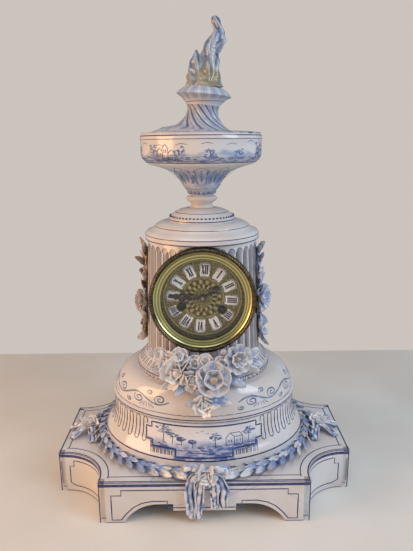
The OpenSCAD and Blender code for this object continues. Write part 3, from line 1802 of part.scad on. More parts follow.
module rear_door() {
  door_back = rear_face_z - rear_ring_t - door_gap - rear_door_t;
  color("gold")
    at_dial()
      difference() {
        union() {
          post(door_back, rear_door_r, rear_door_t, $fn = 96);
          up(door_back - rear_door_t)
            cylinder(r1 = rear_sight_r / 2, r2 = rear_sight_r, h = rear_door_t, $fn = 96);
          knuckle(rear_knuckle_x, rear_hinge_z, 0, knuckle_l, rear_door_r - knuckle_r,
            rear_hinge_z - knuckle_r / 2, rear_hinge_z + knuckle_r / 2);
        }
        knuckle_bore(rear_knuckle_x, rear_hinge_z, pin_r + run_gap);
      }
}

module rear_hinge_pin() {
  length = 3 * knuckle_l + 2 * knuckle_gap;
  color("gold")
    at_dial()
      translate([rear_knuckle_x, length / 2, rear_hinge_z])
        rotate([90, 0, 0])
          cylinder(r = pin_r, h = length);
}

plinth();
drum();
drum_panel();
tier();
case_body();
case_cover();
urn_foot();
urn_bowl();
lid();
lid_collar();
flame();
base_garland();
front_bow();
left_bow();
right_bow();
left_garland();
right_garland();
front_bouquet();
bezel_ring();
door_ring();
glass();
front_hinge_pin();
dial();
cartouches();
hour_hand();
minute_hand();
hand_collet();
cannon_pinion();
hour_wheel();
minute_wheel();
front_plate();
back_plate();
pillars();
going_barrel();
going_arbor();
going_click();
strike_barrel();
strike_arbor();
strike_click();
second_wheel();
centre_wheel();
third_wheel();
escape_wheel();
pallets();
back_cock();
pendulum_rod();
pendulum_bob();
strike_second_wheel();
count_wheel();
pin_wheel();
stop_wheel();
fly();
hammer();
bell();
bell_stand();
straps();
strap_screws();
rear_bezel();
rear_door();
rear_hinge_pin();
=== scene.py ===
import math
import random
import bmesh
import bpy
from mathutils import Matrix, Vector, noise
from mathutils.bvhtree import BVHTree


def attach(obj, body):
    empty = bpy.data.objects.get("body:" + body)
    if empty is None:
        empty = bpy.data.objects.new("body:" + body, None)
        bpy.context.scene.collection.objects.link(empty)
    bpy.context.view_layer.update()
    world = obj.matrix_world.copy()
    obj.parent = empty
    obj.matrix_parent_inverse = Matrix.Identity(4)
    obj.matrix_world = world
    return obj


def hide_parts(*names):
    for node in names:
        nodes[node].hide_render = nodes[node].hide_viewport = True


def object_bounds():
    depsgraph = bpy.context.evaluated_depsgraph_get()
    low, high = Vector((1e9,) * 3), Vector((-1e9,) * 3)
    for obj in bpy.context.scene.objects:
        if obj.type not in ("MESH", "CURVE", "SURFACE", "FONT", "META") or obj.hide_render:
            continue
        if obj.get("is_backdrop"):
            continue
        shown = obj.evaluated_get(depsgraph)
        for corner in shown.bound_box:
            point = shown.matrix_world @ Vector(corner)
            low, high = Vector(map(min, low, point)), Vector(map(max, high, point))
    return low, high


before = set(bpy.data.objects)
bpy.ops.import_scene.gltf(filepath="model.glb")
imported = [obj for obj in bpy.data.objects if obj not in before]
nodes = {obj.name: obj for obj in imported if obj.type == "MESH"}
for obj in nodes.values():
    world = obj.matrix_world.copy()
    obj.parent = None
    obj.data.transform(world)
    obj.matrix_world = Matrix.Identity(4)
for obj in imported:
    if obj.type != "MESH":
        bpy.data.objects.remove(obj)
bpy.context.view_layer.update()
MM = 0.001

# The ledge the clock stands on: a pale painted board. It ends where the wall starts, and the
# wall is the world's own colour.
def formed(name, points, faces):
    """A new object whose mesh has these points, in metres, and these faces."""
    mesh = bpy.data.meshes.new(name)
    mesh.from_pydata([tuple(p) for p in points], [], faces)
    return bpy.data.objects.new(name, mesh)


def shown(obj):
    bpy.context.scene.collection.objects.link(obj)
    return obj


def added(tree, kind, inputs, **settings):
    """A new node in a tree, with its settings, and its inputs linked to a socket or given a value."""
    node = tree.nodes.new(kind)
    for key, value in settings.items():
        setattr(node, key, value)
    for key, value in inputs.items():
        source = value.socket if isinstance(value, Formula) else value
        if isinstance(source, bpy.types.NodeSocket):
            tree.links.new(source, node.inputs[key])
        else:
            node.inputs[key].default_value = source
    return node


class Formula:
    """A number at each point of a surface, worked out by the nodes of its material."""

    def __init__(self, tree, socket):
        self.tree = tree
        self.socket = socket

    def math(self, kind, *others):
        """What one kind of sum makes of this number and the others."""
        inputs = dict(enumerate((self,) + others))
        return Formula(self.tree, added(self.tree, "ShaderNodeMath", inputs, operation=kind).outputs[0])

    def __add__(self, other):
        return self.math("ADD", other)

    def __sub__(self, other):
        return self.math("SUBTRACT", other)

    def __mul__(self, other):
        return self.math("MULTIPLY", other)

    def __truediv__(self, other):
        return self.math("DIVIDE", other)

    def abs(self):
        return self.math("ABSOLUTE")

    def max(self, other):
        return self.math("MAXIMUM", other)

    def distance(self, other):
        """Distance from an axis, where this number and the other are measured from it."""
        return (self * self + other * other).math("SQRT")

    def fade(self, low, high):
        """0 below low and 1 above high, and the other way round where high is the smaller."""
        flip = high < low
        inputs = {"Value": self, "From Min": min(low, high), "From Max": max(low, high),
                  "To Min": 1.0 if flip else 0.0, "To Max": 0.0 if flip else 1.0}
        node = added(self.tree, "ShaderNodeMapRange", inputs, interpolation_type="SMOOTHSTEP")
        return Formula(self.tree, node.outputs["Result"])

    def line(self, at, half):
        """1 on a line where the number is at, and 0 further than half from it."""
        return (self - at).abs().fade(half * 1.3, half * 0.7)


class Surface:
    """A new material, and what its pattern may read: the place in millimetres, noise and an attribute."""

    def __init__(self, name):
        self.material = bpy.data.materials.new(name)
        self.material.use_nodes = True
        self.tree = self.material.node_tree
        self.shader = self.tree.nodes["Principled BSDF"]
        self.place = self.tree.nodes.new("ShaderNodeTexCoord").outputs["Object"]
        split = self.tree.nodes.new("ShaderNodeSeparateXYZ")
        self.tree.links.new(self.place, split.inputs[0])
        self.x, self.y, self.z = [Formula(self.tree, s) * 1000.0 for s in split.outputs]

    def angle(self):
        """Degrees round the clock's upright axis, 0 at the front."""
        return self.x.math("ARCTAN2", self.y * -1.0) * math.degrees(1)

    def noise(self, size_mm, detail=2.0, stretch=None):
        """Soft clouds of a size, stretched along an axis where its number is under 1."""
        place = self.place
        if stretch:
            place = added(self.tree, "ShaderNodeMapping", {"Vector": place, "Scale": stretch}).outputs[0]
        inputs = {"Vector": place, "Scale": 1000.0 / size_mm, "Detail": detail}
        return Formula(self.tree, added(self.tree, "ShaderNodeTexNoise", inputs).outputs[0])

    def attribute(self, name):
        node = added(self.tree, "ShaderNodeAttribute", {}, attribute_name=name)
        return Formula(self.tree, node.outputs["Fac"])

    def mixed(self, amount, low, high):
        """Colour that goes from low to high with the amount. Either may be a colour or a socket."""
        low, high = [c if isinstance(c, bpy.types.NodeSocket) else (*c, 1.0) for c in (low, high)]
        inputs = {"Factor": amount, 6: low, 7: high}
        return added(self.tree, "ShaderNodeMix", inputs, data_type="RGBA").outputs[2]

    def colour(self, socket):
        self.tree.links.new(socket, self.shader.inputs["Base Color"])

    def rough(self, amount, low, high):
        node = added(self.tree, "ShaderNodeMapRange", {"Value": amount, "To Min": low, "To Max": high})
        self.tree.links.new(node.outputs["Result"], self.shader.inputs["Roughness"])

    def bump(self, amount, height_mm, strength=1.0):
        inputs = {"Height": amount, "Distance": height_mm * MM, "Strength": strength}
        node = added(self.tree, "ShaderNodeBump", inputs)
        self.tree.links.new(node.outputs[0], self.shader.inputs["Normal"])

    def set(self, **values):
        """Numbers that are the same all over the surface, on the shader's own sockets."""
        for key, value in values.items():
            self.shader.inputs[key.replace("_", " ")].default_value = value


ledge_w = 3.0
ledge_front = -3.0
ledge_back = 0.40
ledge = shown(formed("ledge", [(-ledge_w, ledge_front, 0), (ledge_w, ledge_front, 0),
                               (ledge_w, ledge_back, 0), (-ledge_w, ledge_back, 0)], [(0, 1, 2, 3)]))
board = Surface("ledge_paint")
stain = board.noise(260.0, 4.0)
board.colour(board.mixed(stain.fade(0.35, 0.7), (0.7, 0.66, 0.6), (0.78, 0.75, 0.7)))
board.rough(board.noise(40.0), 0.5, 0.7)
board.bump(board.noise(9.0, 5.0), 0.4, 0.5)
ledge.data.materials.append(board.material)
ledge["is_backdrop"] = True

# The room: a dim cool light from all round, and the flat colour of the wall that the camera sees.
world = bpy.data.worlds.new("soft_room")
bpy.context.scene.world = world
world.use_nodes = True
room = world.node_tree
room_light = room.nodes["Background"]
room_light.inputs["Color"].default_value = (0.9, 0.93, 1.0, 1.0)
room_light.inputs["Strength"].default_value = 0.3
wall = added(room, "ShaderNodeBackground", {"Color": (0.6, 0.55, 0.51, 1.0), "Strength": 1.0})
seen = added(room, "ShaderNodeLightPath", {})
either = added(room, "ShaderNodeMixShader", {0: seen.outputs["Is Camera Ray"], 1: room_light.outputs[0],
                                             2: wall.outputs[0]})
room.links.new(either.outputs[0], room.nodes["World Output"].inputs["Surface"])


# Lamps: cool daylight from a window on the right, a warm room on the left, and a weak one above.
def soft_lamp(name, place, size, power, colour):
    """A broad lamp that faces the clock: place and size are in metres, power is in watts."""
    data = bpy.data.lights.new(name, "AREA")
    data.shape = "RECTANGLE"
    data.size, data.size_y = size
    data.energy = power
    data.color = colour
    lamp = bpy.data.objects.new(name, data)
    lamp.location = place
    lamp.rotation_euler = (lamp_aim - Vector(place)).to_track_quat("-Z", "Y").to_euler()
    shown(lamp)


lamp_aim = Vector((0.0, 0.0, 0.25))
soft_lamp("window", (1.15, -0.75, 0.95), (0.7, 1.1), 13.0, (0.74, 0.85, 1.0))
soft_lamp("warm_room", (-1.2, -0.5, 0.5), (0.8, 0.8), 13.0, (1.0, 0.57, 0.28))
soft_lamp("overhead", (-0.1, -0.5, 1.7), (1.2, 1.2), 6.5, (1.0, 0.97, 0.93))

# Camera: fitted to the plinth's corners, the bezel's circle, the bowl's rim and the flame's tip.
camera_place = Vector((1.96, -647.03, 435.58))
sensor_mm = 36.0
pitch = math.radians(14.20)
yaw = math.radians(0.28)
roll = math.radians(-0.51)
focal_px = 518.72
photo_h = 551
forward = Vector((math.sin(yaw) * math.cos(pitch), math.cos(yaw) * math.cos(pitch), -math.sin(pitch)))
level = forward.cross(Vector((0, 0, 1))).normalized()
over = level.cross(forward)
right_way = level * math.cos(roll) + over * math.sin(roll)
up_way = over * math.cos(roll) - level * math.sin(roll)
camera = bpy.data.objects.new("camera", bpy.data.cameras.new("camera"))
camera.data.sensor_width = sensor_mm
camera.data.lens = focal_px / photo_h * sensor_mm
turned_way = Matrix((right_way, up_way, -forward)).transposed().to_4x4()
camera.matrix_world = Matrix.Translation(camera_place * MM) @ turned_way
bpy.context.scene.camera = shown(camera)
bpy.context.scene.view_settings.view_transform = "Standard"

# Plinth: one hollow slip-cast block in white glazed porcelain. Its hollowed corners end in
# square steps, and its feet are cut out between arches. Cobalt lines are painted round each face.
cobalt = (0.018, 0.026, 0.105)
pale_cobalt = (0.15, 0.21, 0.42)
cream = (0.66, 0.60, 0.555)
cool_white = (0.70, 0.685, 0.69)
weld_gap = 2e-6


def smoothed(node, angle=32.0, body="case"):
    """The node's own surface with its triangles joined and its soft edges rounded to the eye."""
    mesh = nodes[node].data.copy()
    work = shown(bpy.data.objects.new(node + "_glazed", mesh))
    merged = bmesh.new()
    merged.from_mesh(mesh)
    bmesh.ops.remove_doubles(merged, verts=merged.verts, dist=weld_gap)
    for edge in merged.edges:
        edge.smooth = len(edge.link_faces) == 2 and edge.calc_face_angle(0.0) < math.radians(angle)
    for face in merged.faces:
        face.smooth = True
    merged.to_mesh(mesh)
    merged.free()
    mesh.materials.clear()
    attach(work, body)
    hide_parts(node)
    return work


def dressed(obj, material):
    """Gives a piece one material in place of any that it had."""
    obj.data.materials.clear()
    obj.data.materials.append(material)
    return obj


def glaze(name, pattern=None, base=cream, other=cool_white):
    """White glaze with cool and warm clouds, a few pin marks, and what the pattern paints on it."""
    skin = Surface(name)
    clouds = skin.noise(55.0, 3.0)
    colour = skin.mixed(clouds.fade(0.35, 0.65), base, other)
    specks = skin.noise(2.2, 2.0)
    colour = skin.mixed(specks.fade(0.7, 0.76) * 0.5, colour, (0.45, 0.38, 0.32))
    for amount, paint in (pattern(skin) if pattern else []):
        colour = skin.mixed(amount, colour, paint)
    skin.colour(colour)
    skin.rough(skin.noise(14.0, 3.0), 0.1, 0.24)
    skin.bump(skin.noise(16.0, 2.0), 0.5, 0.25)
    skin.set(Specular_IOR_Level=0.55, Coat_Weight=0.35, Coat_Roughness=0.06)
    return skin.material


def brush_paint(name, deep=cobalt, thin=pale_cobalt):
    """Cobalt laid with a brush: it pools and thins along each stroke."""
    skin = Surface(name)
    pooled = skin.noise(7.0, 3.0)
    skin.colour(skin.mixed(pooled.fade(0.3, 0.68), deep, thin))
    skin.rough(skin.noise(5.0), 0.12, 0.28)
    skin.set(Specular_IOR_Level=0.5, Coat_Weight=0.3)
    return skin.material


def faced_out(mesh):
    """Turns every face of a new mesh outwards."""
    work = bmesh.new()
    work.from_mesh(mesh)
    bmesh.ops.recalc_face_normals(work, faces=work.faces)
    work.to_mesh(mesh)
    work.free()


# A stroke stands proud by its lift in millimetres, is flat over the edge share of its width, and
# narrows to the least share at the ends of a tapered one.
stroke_lift = 0.13
stroke_edge = 0.75
taper_least = 0.25


class Brush:
    """Painted strokes as slivers of glaze, each a flat strip that follows the porcelain."""

    def __init__(self, skin=None, laid=None):
        self.points = []
        self.faces = []
        self.skin = skin
        self.laid = laid

    def mark(self, marks, width, closed=False, taper=False):
        """A stroke through marks on the skin that the brush paints, laid round it or from the front."""
        self.stroke(self.laid(self.skin, marks), width, closed, taper)

    def stroke(self, path, width, closed=False, taper=False):
        """path is a list of (place, outward normal) in metres, width is in millimetres."""
        count = len(path)
        if count < 2:
            return
        start = len(self.points)
        for i, (place, normal) in enumerate(path):
            before = path[(i - 1) % count if closed else max(i - 1, 0)][0]
            after = path[(i + 1) % count if closed else min(i + 1, count - 1)][0]
            along = (after - before).normalized()
            side = along.cross(normal).normalized()
            half = width * MM / 2
            if taper:
                half *= taper_least + (1 - taper_least) * math.sin(math.pi * (i + 0.5) / count)
            lift = normal * stroke_lift * MM
            edge = half * stroke_edge
            self.points += [place - side * half - lift, place - side * edge + lift,
                            place + side * edge + lift, place + side * half - lift]
        rungs = count if closed else count - 1
        for i in range(rungs):
            a = start + 4 * i
            b = start + 4 * ((i + 1) % count)
            for k in range(4):
                self.faces.append((a + k, a + (k + 1) % 4, b + (k + 1) % 4, b + k))
        if not closed:
            self.faces.append((start + 3, start + 2, start + 1, start))
            last = start + 4 * (count - 1)
            self.faces.append((last, last + 1, last + 2, last + 3))

    def piece(self, name, material, body="case", slot="blue_porcelain"):
        """Makes the strokes one piece that rides on a body."""
        obj = shown(formed(name, self.points, self.faces))
        obj.data.materials.append(material)
        faced_out(obj.data)
        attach(obj, body)


plinth_x = 186.0
plinth_y = 120.5
plinth_h = 55.0
step = 7.5
hollow_r = 54.0
hollow_x = plinth_x - step
hollow_y = plinth_y - step


def plinth_edge(inset=0.0, arc_steps=14):
    """Corner points of the plinth's plan with the normal of each run, counter-clockwise."""
    quarter = [(plinth_x, hollow_y - hollow_r), (hollow_x, hollow_y - hollow_r)]
    quarter += [(hollow_x - hollow_r * math.sin(a), hollow_y - hollow_r * math.cos(a))
                for a in [math.pi / 2 * i / arc_steps for i in range(1, arc_steps)]]
    quarter += [(hollow_x - hollow_r, hollow_y), (hollow_x - hollow_r, plinth_y)]
    loop = quarter + [(-x, y) for x, y in reversed(quarter)]
    loop += [(-x, -y) for x, y in quarter] + [(x, -y) for x, y in reversed(quarter)]
    if not inset:
        return loop
    moved = []
    count = len(loop)
    for i, (x, y) in enumerate(loop):
        a = Vector(loop[i]) - Vector(loop[i - 1])
        b = Vector(loop[(i + 1) % count]) - Vector(loop[i])
        na = Vector((a.y, -a.x)).normalized()
        nb = Vector((b.y, -b.x)).normalized()
        bend = max(1 + na.dot(nb), 0.4)
        moved.append((x - inset * (na.x + nb.x) / bend, y - inset * (na.y + nb.y) / bend))
    return moved


def flat_path(points, origin, across, up, normal, step_mm=9.0):
    """Path of a stroke on a flat face: points are (across, up) in millimetres."""
    path = []
    for (a, b), (c, d) in zip(points, points[1:]):
        run = max(1, int(math.hypot(c - a, d - b) / step_mm))
        for k in range(run):
            t = k / run
            path.append((a + (c - a) * t, b + (d - b) * t))
    path.append(points[-1])
    return [((origin + across * u + up * v) * MM, normal) for u, v in path]


paint = brush_paint("cobalt_line", cobalt, (0.05, 0.07, 0.19))
leaf_paint = brush_paint("foliage_blue", (0.07, 0.12, 0.3), (0.2, 0.28, 0.48))
UP = Vector((0, 0, 1))
plinth = smoothed("plinth")
vein_half = 0.55
vein_ways = ((0.5, -0.2, 52.0), (-0.62, 0.3, -14.0), (-0.28, -0.4, 84.0), (0.9, 0.3, 96.0))


def plinth_pattern(skin):
    """A few faint veins in the glaze, a foot that grows darker towards the bottom, and a blue line along its
    lowest edge.
    """
    wander = skin.noise(60.0, 2.0) * 9.0
    broken = skin.noise(30.0, 2.0).fade(0.3, 0.5) * 0.6
    veins = [(skin.x * along + skin.y * deep + skin.z + wander).line(level, vein_half) * broken
             for along, deep, level in vein_ways]
    # The foot grows darker towards the bottom.
    foot_darkening = skin.z.fade(16.0, 0.0) * 0.3
    low_line = skin.z.fade(1.7, 1.1) * 0.8
    return [(vein, (0.33, 0.4, 0.58)) for vein in veins] + [(foot_darkening, (0.5, 0.45, 0.4)),
                                                            (low_line, (0.09, 0.12, 0.26))]


dressed(plinth, glaze("plinth_glaze", plinth_pattern))
plinth_lines = Brush()
edge = plinth_edge(0.0)
walls = [(Vector(a), Vector(b)) for a, b in zip(edge, edge[1:] + edge[:1])]
corner_line_ends = (0.6, 48.6)
for z, width in ((50.4, 4.4), (54.2, 1.3)):
    for a, b in walls:
        along = (b - a).normalized()
        out = Vector((along.y, -along.x, 0))
        plinth_lines.stroke([(Vector((*a, z)) * MM, out), (Vector((*b, z)) * MM, out)], width)
for i, (a, b) in enumerate(walls):
    along = (b - a).normalized()
    out = Vector((along.y, -along.x, 0))
    before = walls[i - 1][0]
    after = walls[(i + 1) % len(walls)][1]
    for end, way, beyond in ((a, along, a - before), (b, -along, after - b)):
        if abs(beyond.normalized().dot(along)) < 0.7:
            x, y = end + way * 0.6
            corner_line = [(Vector((x, y, z)) * MM, out) for z in corner_line_ends]
            plinth_lines.stroke(corner_line, 1.2)

# The key-cornered lines of the front and the ends: (across, up) of the right half, from the middle.
front_half = [(0, 44), (98, 44), (98, 37), (110, 37), (110, 4), (99, 4), (93, 12), (84, 21),
              (74, 26.5), (62, 29), (44, 29), (44, 20), (0, 20)]
end_half = [(0, 44), (42, 44), (42, 37), (52, 37), (52, 6), (44, 6), (44, 30), (0, 30)]
for half_line, out, across, reach in ((front_half, Vector((0, 1, 0)), Vector((1, 0, 0)), plinth_y),
                                      (end_half, Vector((1, 0, 0)), Vector((0, 1, 0)), plinth_x)):
    for face in (-1, 1):
        for side in (-1, 1):
            marks = [(u * side, v) for u, v in half_line]
            plinth_lines.stroke(flat_path(marks, out * face * reach, across, UP, out * face), 1.7)
hollow_line = [(12, 44), (78, 44), (78, 36), (84, 36), (84, 12), (76, 8), (14, 8), (6, 12),
               (6, 36), (12, 36), (12, 44)]
for sx in (-1, 1):
    for sy in (-1, 1):
        path = []
        for (a, b), (c, d) in zip(hollow_line, hollow_line[1:]):
            run = max(1, int(abs(c - a) / 5))
            for k in range(run):
                t = k / run
                angle = math.radians(a + (c - a) * t)
                place = Vector((sx * (hollow_x - hollow_r * math.cos(angle)),
                                sy * (hollow_y - hollow_r * math.sin(angle)), b + (d - b) * t))
                out = Vector((sx * math.cos(angle), sy * math.sin(angle), 0))
                path.append((place * MM, out))
        plinth_lines.stroke(path, 1.6, closed=True)
for inset, width in ((1.4, 2.0), (10.5, 1.5)):
    top_edge = [(Vector((x, y, plinth_h)) * MM, UP) for x, y in plinth_edge(inset)]
    plinth_lines.stroke(top_edge, width, closed=True)
plinth_lines.piece("plinth_lines", paint)

# Drum: a hollow oval wall that spreads to a foot and closes in a low dome with a round seat.
# Painted flutes stand round the wall, and lines run round its foot and under its dome.
drum = smoothed("drum", 22.0)


def sight(obj):
    """What a painter's line falls on: the surface of one piece."""
    return BVHTree.FromPolygons([v.co.copy() for v in obj.data.vertices],
                                [tuple(p.vertices) for p in obj.data.polygons])


def round_path(tree, marks, reach=0.4):
    """Path of a stroke on a round piece: marks are (degrees from the front, height in millimetres)."""
    path = []
    for angle, z in marks:
        a = math.radians(angle)
        out = Vector((math.sin(a), -math.cos(a), 0))
        place, normal, face, far = tree.ray_cast(out * reach + Vector((0, 0, z * MM)), -out)
        if place is not None:
            path.append((place, normal if normal.dot(out) > 0 or normal.z > 0 else -normal))
    return path


def ring(brush, tree, z, width, steps):
    """A line right round a piece at one height."""
    marks = [(360.0 * i / steps, z) for i in range(steps)]
    brush.stroke(round_path(tree, marks), width, closed=True)


def drum_pattern(skin):
    """Grey clouds low on the wall, darker towards its foot."""
    low = skin.z.fade(92.0, 60.0)
    cloud = skin.noise(30.0, 3.0).fade(0.4, 0.7)
    return [(low * cloud * 0.35, (0.5, 0.47, 0.5))]


dressed(drum, glaze("drum_glaze", drum_pattern))
drum_skin = sight(drum)
drum_lines = Brush(drum_skin, round_path)
for z, width in ((73.0, 2.0), (60.0, 1.4), (117.6, 1.1), (121.0, 1.8), (124.6, 1.5)):
    ring(drum_lines, drum_skin, z, width, 160)
flutes = 46
flute_gap = 42.0
flute_half = 1.55
flute_low = 89.0
flute_high = 113.0
flute_round = 3.2
flute_middle = 99.5
for i in range(flutes):
    angle = flute_gap + (360.0 - 2 * flute_gap) * i / (flutes - 1)
    marks = [(angle - flute_half, flute_low), (angle - flute_half, flute_middle)]
    marks += [(angle - flute_half * math.cos(t), flute_high + flute_round * math.sin(t))
              for t in [math.pi * k / 6 for k in range(7)]]
    marks += [(angle + flute_half, flute_middle), (angle + flute_half, flute_low)]
    marks += [(angle + flute_half * math.cos(t), flute_low - flute_round * math.sin(t))
              for t in [math.pi * k / 4 for k in range(1, 4)]]
    drum_lines.mark(marks, 1.4, closed=True)
drum_lines.piece("drum_lines", paint)

# Scrolls on the drum's dome: a vine waves round it, with a large curl above and below each wave,
# two small ones, and a fan of five short strokes. All are laid with the same brush.
dome_r = 112.0
dome_squeeze = 0.62
dome_low = 126.5
dome_high = 152.0
curl_eye = 0.12


def curl_marks(angle, z, radius, turns, way, start):
    """A spiral on the dome that closes on its eye: radius is in millimetres at the open end."""
    steps = int(18 * turns)
    marks = []
    for k in range(steps + 1):
        t = k / steps
        a = start + way * 2 * math.pi * turns * t
        r = radius * (1 - (1 - curl_eye) * t)
        marks.append((angle + math.degrees(r * math.cos(a) / dome_r), z + r * math.sin(a) * dome_squeeze))
    return [(a, h) for a, h in marks if dome_low < h < dome_high]


scrolls = Brush(drum_skin, round_path)
scroll_units = 9
scroll_gap = 25.0
scroll_w = 2.3
vine_z = 139
vine_wave = 4.5
unit_turn = (360 - 2 * scroll_gap) / scroll_units
# share of the unit, height, radius, turns, way round, and where the spiral starts
curls = ((0.3, 137.5, 9.5, 1.7, 1, 1.3), (0.8, 140.5, 9.5, 1.7, -1, -1.3),
         (0.55, 146.5, 5.0, 1.4, -1, -2.2), (0.05, 131.5, 5.0, 1.4, 1, 2.2))
for unit in range(scroll_units):
    start = scroll_gap + unit * unit_turn
    vine = [(start + unit_turn * k / 24, vine_z + vine_wave * math.sin(2 * math.pi * k / 24))
            for k in range(25)]
    scrolls.mark(vine, scroll_w)
    for share, z, radius, turns, way, first in curls:
        marks = curl_marks(start + unit_turn * share, z, radius, turns, way, first)
        scrolls.mark(marks, scroll_w, taper=True)
    for k in range(-2, 3):
        a = start + unit_turn * (0.5 + 0.04 * k)
        fan = [(a, 134.5), (a + k * 0.8, 131.5), (a + k * 1.7, 129.5)]
        scrolls.mark(fan, 1.4, taper=True)
scrolls.piece("dome_scrolls", brush_paint("scroll_blue", (0.09, 0.13, 0.28), (0.24, 0.3, 0.45)))

# The raised panel on the drum's front, moulded with it. A small country scene of hills, trees and
# a cottage is painted on it in blue, inside a line with stepped corners.
panel = smoothed("drum_panel", 40.0)


def panel_pattern(skin):
    """Washes under the panel's scene: the ground, far hills and broken clouds."""
    hills = skin.noise(46.0, 2.0, (1.0, 1.0, 0.2)) * 16.0
    ground = (skin.z - hills).fade(86.0, 80.0)
    broken = skin.noise(5.0, 3.0, (0.5, 0.5, 1.6)).fade(0.38, 0.6)
    sky = skin.noise(24.0, 3.0, (0.5, 0.5, 2.0)).fade(0.52, 0.72) * skin.z.fade(100.0, 108.0)
    far = (skin.z - hills).fade(92.0, 84.0) * skin.noise(9.0, 2.0).fade(0.3, 0.6)
    return [(sky * 0.5, (0.36, 0.44, 0.66)), (far * 0.6, (0.24, 0.31, 0.52)),
            (ground * (broken * 0.7 + 0.3), (0.09, 0.14, 0.34))]


dressed(panel, glaze("panel_glaze", panel_pattern, cool_white, (0.78, 0.78, 0.8)))
panel_skin = sight(panel)


def front_path(tree, marks):
    """Path of a stroke seen from the front: marks are (x, z) in millimetres."""
    path = []
    for x, z in marks:
        place, normal, face, far = tree.ray_cast(Vector((x, -300, z)) * MM, Vector((0, 1, 0)))
        if place is not None:
            path.append((place, normal if normal.y < 0 else -normal))
    return path


def filled(marks, gap=3.0):
    """The marks with more set between them, no further apart than the gap allows."""
    full = []
    for (a, b), (c, d) in zip(marks, marks[1:]):
        run = max(1, int(math.hypot(c - a, d - b) / gap))
        full += [(a + (c - a) * k / run, b + (d - b) * k / run) for k in range(run)]
    return full + [marks[-1]]


scene_lines = Brush(panel_skin, front_path)
panel_leaves = Brush(panel_skin, front_path)
panel_frame_half = [(0, 114.2), (62.5, 114.2), (62.5, 107.5), (69.5, 107.5), (69.5, 92.5), (62.5, 92.5),
                    (62.5, 86), (34, 86), (34, 78), (0, 78)]
for side in (-1, 1):
    scene_lines.mark(filled([(x * side, z) for x, z in panel_frame_half]), 2.4)


panel_trees = ((-49, 92, 18), (-38, 91, 14), (-27, 90, 9), (13, 88, 15), (53, 92, 14), (-14, 88, 8))
tree_dabs = 26
for seed, (x, z, size) in enumerate(panel_trees, 1):
    rng = random.Random(seed)
    trunk = [(x, z), (x + size * 0.05, z + size * 0.5), (x, z + size * 0.8)]
    scene_lines.mark(trunk, 0.9)
    for k in range(tree_dabs):
        a = rng.uniform(0, 2 * math.pi)
        r = size * 0.42 * math.sqrt(rng.random())
        u = x + r * math.cos(a) * 1.3
        v = z + size * 0.85 + r * math.sin(a) * 0.7
        dab = [(u - 1.6, v - 0.3), (u, v + 0.6), (u + 1.6, v - 0.2)]
        panel_leaves.mark(dab, 1.7, taper=True)
gable = [(26, 90), (26, 99), (31, 104), (36, 99), (36, 90), (26, 90)]
long_wall = [(36, 99), (46, 99), (46, 90), (36, 90)]
ridge = [(31, 104), (42, 104), (46, 99)]
for house_line in (gable, long_wall, ridge):
    scene_lines.mark(filled(house_line, 2.0), 0.9)
for x in (29.5, 32.5, 39, 43):
    scene_lines.mark([(x, 93), (x, 96)], 1.2)
grass_strokes = 26
for k in range(grass_strokes):
    rng = random.Random(40 + k)
    x = rng.uniform(-60, 56)
    z = 88 + rng.uniform(-1.5, 3.5) if abs(x) > 33 else rng.uniform(80, 89)
    reach = rng.uniform(3, 8)
    blade = [(x, z), (x + reach / 2, z + 0.5), (x + reach, z - 0.2)]
    scene_lines.mark(blade, 1.1, taper=True)
for x, z in ((-8, 106), (-2, 108), (4, 105)):
    bird = [(x - 2, z + 0.8), (x, z), (x + 2, z + 0.9)]
    scene_lines.mark(bird, 0.5, taper=True)
panel_leaves.piece("panel_foliage", leaf_paint)
scene_lines.piece("panel_scene", paint)

# Dentils: a short row of painted blocks on the drum at each side of the panel's lower step.
dentils = Brush(drum_skin, front_path)
dentil_low = 77.4
dentil_high = 82.4
dentil_half = 1.4
dentil_pitch = 4.6
for side in (-1, 1):
    for k in range(6):
        x = side * (40 + dentil_pitch * k)
        marks = [(x - dentil_half, dentil_low), (x - dentil_half, dentil_high),
                 (x + dentil_half, dentil_high), (x + dentil_half, dentil_low)]
        dentils.mark(filled(marks), 1.4)
dentils.piece("panel_dentils", paint)

# Base moulding under the case: a ring with an egg band painted round it, and above it a skirt
# that draws in to the foot of the case under a row of painted strokes.
tier = smoothed("tier")
dressed(tier, glaze("tier_glaze"))
tier_skin = sight(tier)
tier_lines = Brush(tier_skin, round_path)
for z, width in ((158.2, 1.0), (163.3, 1.3), (165.6, 0.9)):
    ring(tier_lines, tier_skin, z, width, 96)
egg_marks = [(-1.3, 162.6), (-1.2, 160.4), (0, 159.3), (1.2, 160.4), (1.3, 162.6)]
skirt_marks = [(-1.1, 167.0), (-1.1, 172.5), (0, 174.5), (1.1, 172.5), (1.1, 167.0)]
for marks, count, first, width in ((egg_marks, 72, 0, 1.5), (skirt_marks, 60, 0.5, 0.95)):
    for i in range(count):
        angle = 360.0 * (i + first) / count
        tier_lines.mark([(angle + a, z) for a, z in marks], width)
tier_lines.piece("tier_lines", paint)

# Case: a slightly tapered round body with round-headed flutes, a collar that takes the dial in
# front and another at the back. A thin blue line runs round each flute, with painted shade in its hollow.
case = smoothed("case_body")


flute_turn = 10.0
flute_wall_r = 71.0
flute_top = 313.6


